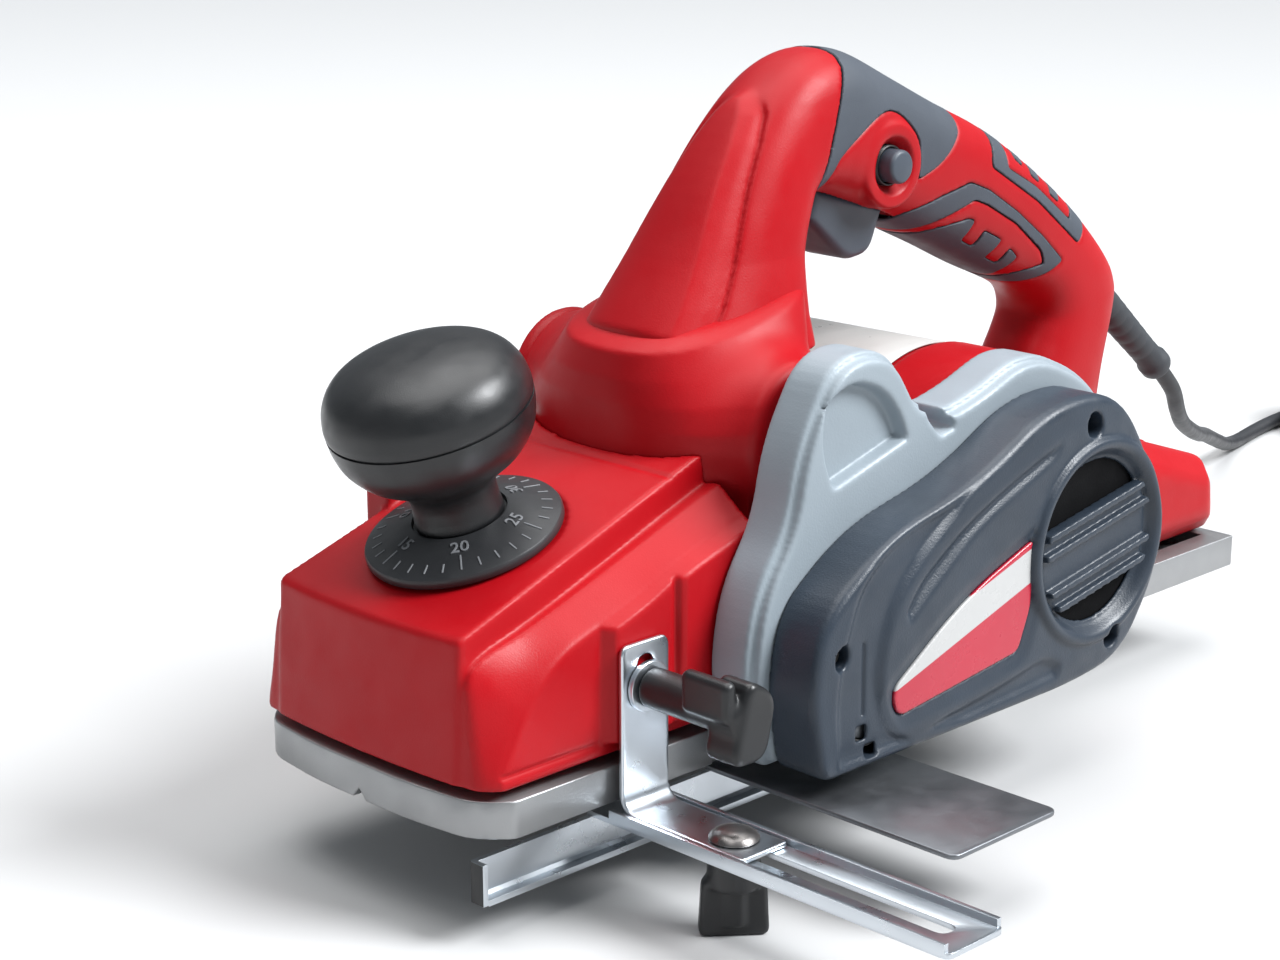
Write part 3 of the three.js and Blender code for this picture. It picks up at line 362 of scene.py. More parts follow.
def skin(f):
    """Surface nets: vertices in grid coordinates and quads of the zero surface of f."""
    inside = f < 0
    shape = tuple(n - 1 for n in f.shape)
    count = np.zeros(shape, np.int8)
    for i, j, k in CORNERS:
        count += inside[i:i + shape[0], j:j + shape[1], k:k + shape[2]]
    cells = (count > 0) & (count < 8)
    where = np.argwhere(cells)
    index = np.full(shape, -1, np.int32)
    index[cells] = np.arange(len(where))
    values = np.stack([f[tuple((where + c).T)] for c in CORNERS], axis=1)
    total, hits = np.zeros((len(where), 3)), np.zeros(len(where))
    for a, b in CUBE_EDGES:
        va, vb = values[:, a], values[:, b]
        crossed = (va < 0) != (vb < 0)
        t = np.where(crossed, va / np.where(crossed, va - vb, 1), 0)
        total += crossed[:, None] * (CORNERS[a] + t[:, None] * (CORNERS[b] - CORNERS[a]))
        hits += crossed
    points = where + total / hits[:, None]
    quads = []
    for axis in range(3):
        a, b = [slice(None)] * 3, [slice(None)] * 3
        a[axis], b[axis] = slice(0, -1), slice(1, None)
        first, second = inside[tuple(a)], inside[tuple(b)]
        edges = np.argwhere(first != second)
        u, v = (axis + 1) % 3, (axis + 2) % 3
        keep = (edges[:, u] > 0) & (edges[:, v] > 0)
        keep &= (edges[:, u] < f.shape[u] - 1) & (edges[:, v] < f.shape[v] - 1)
        edges = edges[keep]
        ring = []
        for du, dv in ((-1, -1), (0, -1), (0, 0), (-1, 0)):
            cell = edges.copy()
            cell[:, u] += du
            cell[:, v] += dv
            ring.append(index[tuple(cell.T)])
        ring = np.stack(ring, axis=1)
        away = first[tuple(edges.T)]
        ring[~away] = ring[~away][:, ::-1]
        quads.append(ring)
    return points, np.vstack(quads)


def settle(f, points, rounds=2):
    """Moves points onto the zero surface of f along its slope."""
    for _ in range(rounds):
        value = sample(f, points)
        slope = np.stack([sample(f, points + d) - sample(f, points - d)
                          for d in 0.5 * np.eye(3)], axis=1)
        length = np.maximum((slope ** 2).sum(axis=1), 1e-3)
        move = slope * (value / length)[:, None]
        size = np.maximum(np.linalg.norm(move, axis=1), 1e-9)
        points = points - move * np.minimum(1, 0.4 / size)[:, None]
    return points


def finish_piece(obj, body, finish, replaced=()):
    """Gives a piece its material and its body, and hides the CAD nodes that it stands for."""
    obj.data.materials.clear()
    obj.data.materials.append(finish.mat)
    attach(obj, body)
    if replaced:
        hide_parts(*replaced)
    return obj


def mesh_object(name, points, faces):
    """A smooth mesh object from points in the design frame."""
    mesh = bpy.data.meshes.new(name)
    mesh.from_pydata(place(points).tolist(), [], faces)
    mesh.validate()
    mesh.shade_smooth()
    return add_to_scene(name, mesh)


def largest(points, faces, share=0.02):
    """Drops loose crumbs: every island with less than a share of the points."""
    parent = np.arange(len(points))
    while True:
        low = parent[faces].min(axis=1)
        new = parent.copy()
        np.minimum.at(new, faces.ravel(), np.repeat(low, faces.shape[1]))
        new = new[new]
        if (new == parent).all():
            break
        parent = new
    islands, counts = np.unique(parent, return_counts=True)
    keep = np.isin(parent, islands[counts >= share * len(points)])
    order = np.cumsum(keep) - 1
    return points[keep], order[faces[keep[faces].all(axis=1)]]


def surface(f):
    """Points in grid coordinates and quads of a field's zero surface."""
    points, quads = largest(*skin(f))
    return settle(f, points), quads


def sculpt(name, grid, f, body, finish, replaced=(), marks=None):
    """A smooth mesh of a field's zero surface, with float marks carried to its points."""
    f = np.ascontiguousarray(f, dtype=np.float32)
    points, quads = surface(f)
    obj = mesh_object(name, points * grid.step + grid.low, quads.tolist())
    for key, values in (marks or {}).items():
        values = np.broadcast_to(values, f.shape)
        attribute = obj.data.attributes.new(key, "FLOAT", "POINT")
        attribute.data.foreach_set("value", sample(values, points).astype(np.float32))
    even = obj.modifiers.new("even", "SMOOTH")
    even.factor = 0.5
    even.iterations = 2
    return finish_piece(obj, body, finish, replaced)


# ---------------------------------------------------------------- cord
CORD_ROUTE = [
    (416.3, 58.5, 67.2), (424, 59, 60.6), (432, 60.5, 53.5), (444, 66, 42.5), (462, 75, 32),
    (486, 86, 22), (515, 101, 12), (545, 117, 3), (575, 133, -7), (604, 147, -17),
    (628, 157.5, -25), (650, 165, -29), (672, 170, -29.4), (695, 173.8, -29.4), (718, 175.8, -29.4),
]
CORD_WIDE = 7.0
FLOOR_Z = -32.9
COIL_X, COIL_Y, COIL_Z = 742.0, 131.5, -29.4
# Turn angle, radius and height of the coil: two columns and three layers.
COIL_PATH = [
    (0, 44.8, 0), (90, 44.8, 0), (250, 44.8, 0), (325, 37.4, 0), (600, 37.4, 0), (690, 37.4, 7.15),
    (960, 37.4, 7.15), (1045, 44.8, 7.15), (1320, 44.8, 7.15), (1410, 44.8, 14.3), (1700, 44.8, 14.3),
    (1770, 37.4, 14.3), (2060, 37.4, 14.3), (2140, 41, 20.6), (2220, 42.5, 21.6),
]
CORD_END = [(783.5, 117, -6.2), (774.5, 101, -4.6), (764, 93.2, -3.9), (756, 92, -3.8)]


def cord_points():
    """The cord's middle line: the lying stretch, the coil and the end that goes into the plug."""
    start = spline(CORD_ROUTE, 4)
    angles, radii, heights = np.array(COIL_PATH, float).T
    turn = np.arange(0, angles[-1] + 1, 12.0)
    radius = np.interp(turn, angles, radii)
    rise = np.interp(turn, angles, heights)
    smooth = np.ones(5) / 5
    radius[2:-2] = np.convolve(radius, smooth, "valid")
    rise[2:-2] = np.convolve(rise, smooth, "valid")
    phi = np.radians(turn)
    coil = np.stack([COIL_X + radius * np.sin(phi), COIL_Y + radius * np.cos(phi), COIL_Z + rise], axis=1)
    end = spline(np.vstack([coil[-1:], CORD_END]), 4)[1:]
    return np.vstack([start, coil, end])


def add_cord():
    points = place(cord_points())
    data = bpy.data.curves.new("power_cord_line", "CURVE")
    data.dimensions = "3D"
    data.bevel_depth = CORD_WIDE / 2 * MM
    data.bevel_resolution = 5
    data.use_fill_caps = True
    path = data.splines.new("POLY")
    path.points.add(len(points) - 1)
    for point, co in zip(path.points, points):
        point.co = (*co, 1)
    path.use_smooth = True
    cord = add_to_scene("power_cord_line", data)
    data.materials.append(CORD.mat)
    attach(cord, "machine")
    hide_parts("power_cord", "cord_coil")
    length = float(np.linalg.norm(np.diff(points, axis=0), axis=1).sum())
    return cord, length


def add_tie():
    """A strap round the coil's section, on the side away from the plug's cord."""
    angle = math.radians(255)
    out = np.array([math.sin(angle), math.cos(angle), 0])
    along = np.array([out[1], -out[0], 0])
    loop = rounded([(-8.6, -3.4, 3), (8.6, -3.4, 3), (8.6, 18.6, 4), (-8.6, 18.6, 4)], 5)
    centre = np.array([COIL_X, COIL_Y, COIL_Z]) + 41 * out
    mid = np.array([0, 7.4])
    rings = []
    for side, grow in ((-2.6, 0.0), (-2.6, 0.8), (-2.2, 1.0), (2.2, 1.0), (2.6, 0.8), (2.6, 0.0)):
        rings.append([centre + out * u + np.array([0, 0, v]) + along * side
                      for u, v in (loop - mid) * (1 + grow / 10) + mid])
    count = len(loop)
    points = np.array(rings).reshape(-1, 3)
    points[:, 2] = np.maximum(points[:, 2], FLOOR_Z)
    faces = []
    for r in range(len(rings)):
        s = (r + 1) % len(rings)
        for i in range(count):
            j = (i + 1) % count
            faces.append((r * count + i, r * count + j, s * count + j, s * count + i))
    tie = mesh_object("cord_tie", points, faces)
    return finish_piece(tie, "machine", BLACK)


# ---------------------------------------------------------------- sculpted housings

def ring_stack(g, rows, power):
    """A stack of rounded sections given as (z, front, rear, half width, slope)."""
    z, front, rear, half, slope = np.array(rows, float).T
    level = g.z - np.interp(g.z, z, slope) * (g.x - 100)
    depth = np.interp(level, z, (rear - front) / 2)
    centre = np.interp(level, z, (rear + front) / 2)
    width = np.interp(level, z, half)
    f = (np.abs((g.x - centre) / depth) ** power + (g.m / width) ** power) ** (1 / power) - 1
    return even_scale(f.astype(np.float32), g.step)


TURRET_POWER = 2.4
TURRET = [
    (40, 91, 200, 56.5, 0), (80, 91, 198, 56.5, 0.01), (92, 91, 186, 56, 0.03), (98, 91, 172, 55, 0.04),
    (104, 91.2, 163, 53, 0.07), (112, 91.5, 165, 48.5, 0.12), (120, 92.5, 170, 42, 0.17),
    (128.5, 95, 174, 36, 0.2), (135, 108, 176, 30, 0.2),
]


def make_front_housing():
    g = Field((-15, -7, 14.5), (107.5, 120.5, 107), 1.0)
    x, y, z, m = g.x, g.y, g.z, g.m
    top = (z - TOP_SLOPE * x - 64.05) / math.hypot(1, TOP_SLOPE)
    bow = 0.0011 * (y - MID_Y) ** 2
    front = (-x - 11.3 + 2.3 * (z - 16) / 46 + bow) / 1.03
    # distance in from the nearer side
    edge = np.minimum(y, 2 * MID_Y - y)
    # crown: the sloping top with a narrow wall at each side
    wall = (14.2 + 0.033 * (x + 6)) - edge
    crown = round_meet(round_meet(top, wall, 1.2), front, 2.5)
    # hip: between the crown's foot line and the side panel's outline, as one ruled surface
    panel = spline([(-3, 10), (-2.5, 19.5), (3.4, 31.7), (9, 41), (16, 48.6), (26, 55), (37.5, 59.0),
                    (55, 65), (72.6, 72.6), (95, 79.5)], 5)
    panel = np.vstack([panel, [(130, 90), (130, 5), (-3, 5)]])
    foot = spline([(-12.2, 10), (-11.6, 20), (-9.5, 40), (-5.5, 50), (2, 55.5), (20, 60.6), (50, 70.6),
                   (95, 86.5)], 5)
    foot = np.vstack([foot, [(130, 98), (130, 5), (-12.2, 5)]])
    d_panel, d_foot = poly(panel, x, z), poly(foot, x, z)
    t = np.clip((edge - 2.4) / 9.6, 0, 1)
    hip = (1 - t) * d_panel + t * d_foot
    slant = np.sqrt(1 + ((d_foot - d_panel) / 9.6) ** 2)
    skirt = round_meet(hip / slant, 2.4 - 0.012 * (z - 16) - edge, 0.8)
    skirt = round_meet(skirt, front, 3.0)
    body = blend(crown, skirt, 1.2)
    # the rim at the foot of the skirt stands out a little
    rim = meet(1.3 - edge, z - 19.5, front - 0.6, poly([(-2, 5), (-2, 21), (130, 21), (130, 5)], x, z))
    body = blend(body, rim, 0.8)
    # side panels: the first lies low, the pad behind the bracket and the last one stand out
    low_panel = round_meet(meet(d_panel + 0.7, 20.8 - z), 1.5 - edge, 0.5)
    reach = np.interp(x, [38.8, 42.6, 69.2, 71.2], [1.5, -2.6, -2.6, -4.0]).astype(np.float32)
    high_top = d_panel + 0.7 + 0.45 * (1.5 - y)
    high_panel = round_meet(round_meet(high_top, reach - y, 0.7), meet(20.2 - z, 38.9 - x), 0.5)
    body = union(body, low_panel, meet(high_panel, y - 20))
    body = carve(body, meet(np.abs(x - 68.4) - 1.1, y + 1.3, 20.2 - z))
    # a low step on the far side of the crown
    step = meet(36 - x, 98.5 - y, y - 110.5, top - 7.5, x - 95)
    step = round_meet(step, top - 7.4, 1.5)
    body = blend(body, step, 1.5)
    # fine line round the crown in front of the turret
    body = carve(body, meet(np.abs(x - 86.2) - 0.45, -(top + 0.8), 14 - edge))
    # seats for the dial, its spindle and the clamp screw
    height, radial = g.tilted(KNOB_AT, KNOB_TILT)
    body = carve(body, meet(-height - 0.2, radial - 33.0))
    body = carve(body, meet(radial - 5.6, -height - 60))
    body = carve(body, meet(disc(GUIDE_X, CLAMP_Z, 3.6, x, z), y - 16))
    # it ends at the turret and the drum's space, and is hollow inside
    body = meet(body, 15.8 - z, x - 103.5, 0.2 - ring_stack(g, TURRET, TURRET_POWER))
    body = carve(body, meet(90 - x, z - 53))
    body = carve(body, meet(body + 3.2, z - 60, 40 - z, m - 50))
    sculpt("front_cowl", g, body, "machine", RED, ["front_housing"])


def make_turret():
    g = Field((84, -2, 51), (206, 120, 152), 1.0)
    x, y, z = g.x, g.y, g.z
    body = ring_stack(g, TURRET, TURRET_POWER)
    cap = z - 131.5 - 0.2 * (x - 100)
    body = round_meet(body, cap / 1.02, 3)
    # the chip channel's tube runs across it, with a lip at its outlet and a chute from the drum
    hump = round_meet(disc(CHANNEL_X, CHANNEL_Z, 25.0, x, z), g.m - 57, 5)
    body = blend(body, hump, 9)
    body = blend(body, meet(np.abs(x - 132) - 21, g.m - 51.5, z - 98), 2)
    lip = round_meet(disc(CHANNEL_X, CHANNEL_Z, 25.4, x, z), np.abs(y - 115.5) - 2.5, 1)
    body = union(body, lip)
    bore = meet(disc(CHANNEL_X, CHANNEL_Z, 21, x, z), 8 - y)
    throat = meet(np.abs(x - 132) - 17, g.m - 48.5, z - 98)
    body = carve(body, bore, throat, disc(MOTOR_X, MOTOR_Z, MOTOR_R + 0.3, x, z))
    body = meet(body, 52 - z, 90.3 - x)
    sculpt("turret_cowl", g, body, "machine", RED, ["turret_housing"])


def make_rear_housing():
    g = Field((160, -6, 11.5), (391, 119.5, 117), 1.3)
    x, y, z = g.x, g.y, g.z
    radial = disc(MOTOR_X, MOTOR_Z, 0, x, z)
    flange = round_meet(radial - MOTOR_R, meet(-3.7 - y, y - 24.5), 1.0)
    barrel = round_meet(radial - (MOTOR_R - 1.6 - 0.016 * (y - 24)), y - 114, 6)
    end = round_meet(radial - 50, y - 117, 2.5)
    body = union(flange, meet(union(barrel, end), 20 - y))
    # tail: side outline, crowned by a chamfer along each edge
    roof = poly([(150, 12.8), (388, 12.8), (388, 26), (386.6, 37.5), (383, 44.2), (330, 62), (268, 72),
                 (150, 92)], x, z)
    side = g.m - (55.6 - 0.008 * (x - 268))
    bevel = (roof + side + 9.5) * 0.7071
    tail = round_meet(round_meet(roof, side, 2.0), bevel, 3.0)
    tail = round_meet(tail, x - 387.5, 2.5)
    tail = meet(tail, MOTOR_X - 10 - x)
    body = blend(body, tail, 3.0)
    # two raised ribs along the tail's roof
    for offset in (-24, 24):
        rib = round_meet(np.abs(y - MID_Y - offset) - 2.2, roof - 0.9, 0.8)
        body = blend(body, meet(rib, x - 372, 292 - x), 1.2)
    # far face: cooling slots, a ring groove and four screw wells
    for i in range(7):
        level = MOTOR_Z - 27 + 9 * i
        reach = 24 - 0.012 * (level - MOTOR_Z) ** 2
        slot = round_meet(np.abs(x - MOTOR_X) - reach, np.abs(z - level) - 1.9, 1.2)
        body = carve(body, meet(slot, 105 - y))
    body = carve(body, meet(np.abs(radial - 44) - 0.8, 115.6 - y))
    for angle in (45, 135, 225, 315):
        cx = MOTOR_X + 47 * math.cos(math.radians(angle))
        cz = MOTOR_Z + 47 * math.sin(math.radians(angle))
        boss = round_meet(disc(cx, cz, 6.2, x, z), np.abs(y - 112) - 4.4, 1)
        body = blend(body, boss, 1.5)
        body = carve(body, meet(disc(cx, cz, 3.4, x, z), 108 - y))
    # parting line of the barrel
    body = carve(body, meet(np.abs(y - 62) - 0.5, -(radial - MOTOR_R + 2.9), x - 268))
    # a skirt carries the barrel on the sole, and the motor's space is bored out
    skirt = round_meet(meet(167.5 - x, x - 240, z - 32), g.m - 55.2, 2)
    body = union(body, skirt)
    body = carve(body, meet(radial - 52.5, y - 98, -40 - y))
    body = meet(body, 12.8 - z)
    sculpt("rear_cowl", g, body, "machine", RED, ["motor_housing", "tail_housing"])


# ---------------------------------------------------------------- handle
# Side outlines, as (x, z): the grip's outer and inner line, and the zones of the soft grips.
OUTER = [(105, 132.5), (121, 153), (139, 178), (157, 199), (170, 209.5), (182, 215.6), (194, 217.8),
         (206, 215.8), (229, 205.5), (252, 195), (278, 184), (303, 170), (332, 150), (357, 128),
         (365, 116), (365.5, 105), (360, 82), (356.5, 54.2)]
INNER = [(172, 140), (173, 153), (178, 166), (183, 169.5), (202, 163.5), (219, 157.5), (237, 149),
         (259, 139.5), (282, 129), (304, 120), (316, 113.5), (320, 107), (317, 100), (311.5, 92), (307, 82),
         (303, 70), (300, 58)]
CAP_ZONE = [(176.6, 169), (184, 190), (191, 206), (195.5, 216), (198, 240), (262, 240), (259.5, 205),
            (258.1, 186.5), (254.2, 180.8), (246.3, 174.7), (238.2, 171.2), (231.8, 170.4), (232.8, 181.3),
            (229.5, 187.7), (221.3, 194), (212.1, 195.3), (199.5, 189.9), (187.7, 182), (182.3, 173)]
BRACKET_ZONE = [(279.5, 179.5), (275.4, 169.2), (304, 153), (329.7, 133.7), (336, 139), (352, 152),
                (360, 158), (354, 166), (339, 156), (325, 143.6), (304, 158.8), (286.3, 167.6),
                (288, 174.6), (296, 192), (284, 196)]
TEETH_ZONES = [[(294, 169.8), (298.5, 166.3), (318, 190), (311, 195)],
               [(303, 162.5), (308, 159.2), (330, 180), (324, 186)],
               [(314, 154.2), (319.5, 150.5), (342, 168), (336, 174)]]
HOOK_ZONE = [(226, 154), (231, 157.2), (247, 162), (262.7, 165.2), (273.5, 161.2), (291, 151), (307, 139.8),
             (320.5, 128.5), (314, 124.5), (306, 121.5), (296, 119), (294, 124.5), (299, 126.2),
             (309.6, 128.4), (306.5, 134.1), (290, 146.5), (272.5, 155.6), (265.2, 158.2), (250, 153.2),
             (238, 149.2), (228, 147.5), (222, 150)]
LOWER_ZONE = [(238, 146.6), (250, 149.6), (263, 151.6), (267, 150.8), (263.4, 143.2), (270, 140),
              (273, 146), (281, 142.4), (283.5, 141), (279, 134.6), (286, 131.4), (289, 137.4),
              (294.6, 133), (291, 127.6), (293.4, 121), (290, 110), (236, 132)]


def make_handle():
    """The handle's body with sunk recesses, and the two soft grips that lie in them."""
    g = Field((98, 23, 43), (372, 94, 217), 0.95)
    x, y, z = g.x, g.y, g.z
    outer = np.vstack([spline(OUTER, 5), [(360, 20), (105, 20)]])
    inner = np.vstack([spline(INNER, 5), [(300, 20), (172, 20)]])
    d_out, d_in = -poly(outer, x, z), poly(inner, x, z)
    half = np.maximum((d_in + d_out) / 2, 2)
    u = (d_in - d_out) / (2 * half)
    narrow = step_up(x, 195, 232)
    width = np.interp(z, [118, 132.5, 153, 172, 185, 200, 212, 217], [38, 32, 27, 24, 22.4, 20.8, 20.2, 20])
    width = width * (1 - narrow) + 19.6 * narrow
    pillar = 1 - step_up(x + 0.4 * (z - 150), 176, 200)
    power = 2.7 - 0.25 * pillar * (u > 0) + 1.0 * pillar * (u <= 0)
    f = (np.abs(u) ** power + (g.m / width) ** power) ** (1 / power) - 1
    body = even_scale(f.astype(np.float32), g.step)

    # tongue: a plateau up the pillar's front with a bevelled edge
    spine = np.interp(z, [118, 140, 160, 178, 190, 199, 205, 208], [26, 23.5, 19.5, 15.5, 12.8, 9.5, 5, 0.5])
    ahead = np.interp(z, [118, 217], [134, 168])
    inside_tongue = (spine - g.m) / 1.15
    fade = step_up(ahead + 15 - x, 0, 3)
    plateau = np.clip(inside_tongue / 3.8, 0, 1) * fade * (1 - step_up(z, 203, 208.5))
    body = body - 2.4 * plateau * pillar
    groove = np.exp(-((inside_tongue + 1.1) / 1.0) ** 2) * fade * (1 - step_up(z, 198, 205))
    body = body + 1.5 * groove * pillar

    # boss round the lock button, with a dished recess and a deep bore
    lock = disc(LOCK_X, LOCK_Z, 0, x, z)
    boss = round_meet(lock - 15.2, meet(37.2 - y, y - MID_Y), 1.2)
    body = blend(body, boss, 2.0)
    dish = meet(lock - 10.6 + 0.75 * np.maximum(y - 37.2, 0), y - 41.2)
    body = carve(body, dish, meet(lock - 7.2, y - 56))
    body = blend(body, meet(lock - 13, MID_Y - y, y - 79.4), 3.0)

    # trigger slot, cord boss and the foot that stands on the tail's roof
    mouth = poly([(181, 168), (184.5, 159), (205, 138), (222, 136), (229, 158), (226, 165), (187, 176)], x, z)
    body = carve(body, meet(mouth, g.m - 11.3))
    along = np.array([59, -48.2]) / math.hypot(59, 48.2)
    run = (x - 357) * along[0] + (z - 115.7) * along[1]
    off = np.sqrt((-(x - 357) * along[1] + (z - 115.7) * along[0]) ** 2 + (y - MID_Y) ** 2)
    body = blend(body, round_meet(off - (10.2 - 0.1 * run), np.abs(run) - 13, 1.5), 2.5)
    body = carve(body, meet(off - 6.7, -14 - run))
    roof = np.interp(x, [268, 330, 383], [72, 62, 44.2]).astype(np.float32)
    body = carve(body, meet(x - 250, z - 122))
    body = meet(body, roof - 0.6 - z)

    # recesses that take the soft grips
    cap = poly(spline(CAP_ZONE, 3, True), x, z)
    cap = np.where(x < 186, poly(CAP_ZONE, x, z), cap)
    cap = meet(cap, 15.6 - lock, 11.9 - g.m - 1.2 * np.maximum(mouth, 0))
    rear = union(poly(rounded(BRACKET_ZONE, 3, 1.2), x, z), *[poly(zone, x, z) for zone in TEETH_ZONES])
    lower = union(poly(rounded(HOOK_ZONE, 3, 1.2), x, z), poly(rounded(LOWER_ZONE, 3, 0.8), x, z))
    soft = union(cap, rear, lower)
    red = body + 1.1 * step_up(-soft, -0.35, 0.35)
    sculpt("handle_body", g, red, "machine", RED_HANDLE,
           ["handle_shell_left", "handle_shell_right"], {"seam": soft})
    f = np.ascontiguousarray(body - 0.12, dtype=np.float32)
    points, quads = surface(f)
    for name, zone, taken in (("front_grip_skin", cap, ["front_grip_wrap"]),
                              ("rear_grip_skin", union(rear, lower), ["rear_grip_wrap"])):
        level = sample(np.broadcast_to(zone, f.shape), points) + 0.42
        patch, faces = cut_patch(points, quads, level)
        obj = mesh_object(name, patch * g.step + g.low, faces.tolist())
        thick = obj.modifiers.new("thickness", "SOLIDIFY")
        thick.thickness = 1.5 * MM
        thick.offset = -1
        finish_piece(obj, "machine", SLATE, taken)


def cut_patch(points, quads, level):
    """The part of a mesh where level is negative, cut exactly along level = 0, as triangles."""
    tris = np.vstack([quads[:, [0, 1, 2]], quads[:, [0, 2, 3]]])
    points = list(map(tuple, points))
    made = {}
    out = []

    def crossing(a, b):
        key = (min(a, b), max(a, b))
        if key not in made:
            t = level[a] / (level[a] - level[b])
            made[key] = len(points)
            points.append(tuple(np.array(points[a]) + t * (np.array(points[b]) - np.array(points[a]))))
        return made[key]

    inside = level < 0
    counts = inside[tris].sum(axis=1)
    out.extend(map(tuple, tris[counts == 3]))
    for a, b, c in tris[(counts == 1) | (counts == 2)]:
        flags = (inside[a], inside[b], inside[c])
        if sum(flags) == 1:
            while not inside[a]:
                a, b, c = b, c, a
            out.append((a, crossing(a, b), crossing(c, a)))
        else:
            while inside[a]:
                a, b, c = b, c, a
            p, q = crossing(a, b), crossing(c, a)
            out.append((p, b, c))
            out.append((p, c, q))
    used = np.unique(np.array(out))
    order = np.zeros(len(points), int)
    order[used] = np.arange(len(used))
    return np.array(points)[used], order[np.array(out)]


# ---------------------------------------------------------------- castings and cover
CASTING_LINE = [
    (89, 4, 4), (80, 34, 24), (85, 62, 20), (99, 82, 10), (104, 106, 20), (120, 133, 26),
    (146, 133, 24), (160, 112, 4), (176, 106.5, 5), (192, 110, 10),
    (220, 120, 34), (258, 104, 34), (282, 70, 40), (282, 26, 34), (250, 4, 24)]
COVER_LINE = [
    (92, 4, 6), (86.5, 34, 20), (92, 58, 24), (121, 78, 30), (168, 88, 50), (205, 107, 34),
    (243, 106, 30), (265, 76, 34), (275, 40, 34), (252, 7, 30), (222, 3.5, 14)]
COVER_SCREWS = [(100.5, 44), (228, 96), (243, 17)]
BADGE = [(127, 17, 7), (190, 24, 3), (196, 38, 3), (198, 63, 4), (160, 50, 30), (124, 27, 8)]


def make_drive_casting():
    g = Field((77, -26, 1.5), (286, -2.8, 136), 1.0)
    x, y, z = g.x, g.y, g.z
    shape = poly(rounded(CASTING_LINE, 8), x, z)
    body = round_meet(shape, np.abs(y + 14.2) - 9.8, 1.6)
    # a D-shaped recess in the dome
    dome = poly(rounded([(117.5, 91, 1.5), (111.6, 106, 12), (114, 120.5, 14), (127, 125.5, 12),
                         (142, 120, 14), (150.6, 109.5, 10), (154, 101.3, 1.5)], 7), x, z)
    body = carve(body, meet(dome + 0.25 * (y + 24), y + 19))
    notch = poly(rounded([(162.4, 125), (164.0, 106.3, 1), (170.7, 99.0, 1.5), (178.6, 100.6, 1.5),
                          (174.8, 107.2, 1), (175.4, 125)], 4), x, z)
    body = round_meet(body, -notch, 0.7)
    # the flank steps in round the cover
    body = round_meet(body, -meet(-(shape + 2.2), y + 20.4), 1.2)
    sculpt("gear_casting", g, body, "machine", CAST, ["drive_casting"])


# Sunken fields of the cover's face: depth, width of the soft edge and outline.
COVER_FIELDS = [
    (2.3, 5, [(98, 5, 6), (95.5, 30, 12), (99, 47, 8), (106.3, 64.8, 10), (120, 76.0, 10), (136, 81.6, 12),
              (155, 84.6, 12), (172, 91, 4), (154.5, 78.5, 10), (141, 69, 10), (128, 57, 10), (122, 44, 10),
              (120, 30, 12), (126, 14, 12), (140, 6, 8)]),
    (2.8, 6, [(198, 104.5, 2), (181.5, 96.2, 20), (170.5, 89.7, 10), (154.5, 79.0, 10), (141.4, 69.2, 10),
              (128.6, 56, 6), (131, 60, 8), (146, 75, 20), (166, 89, 20), (186, 100, 20)]),
    (3.0, 6.5, [(212, 95.5, 8), (193.3, 90.2, 20), (176.5, 84.2, 20), (157.4, 76.2, 20), (136.3, 62.8, 12),
                (128.2, 52, 6), (131.7, 46.5, 6), (145, 56.6, 20), (163.4, 69.8, 20), (178.5, 76.8, 20),
                (196.9, 83.4, 10), (208, 88, 8)]),
    (2.2, 5, [(138, 8, 4), (150, 12.6, 6), (172, 15, 10), (206, 20.2, 6), (216, 14.5, 6), (214, 7.5, 6),
              (160, 5, 8)]),
]
COVER_FACE_Y, COVER_BACK_Y = -45, -24.3
COVER_HOLLOW_Y = -41.1   # just clear of the drive belt
COVER_DEEPEST = 2.6      # keeps the face outside the hollow
LIP_R, OPENING_R = 37.4, 28.6


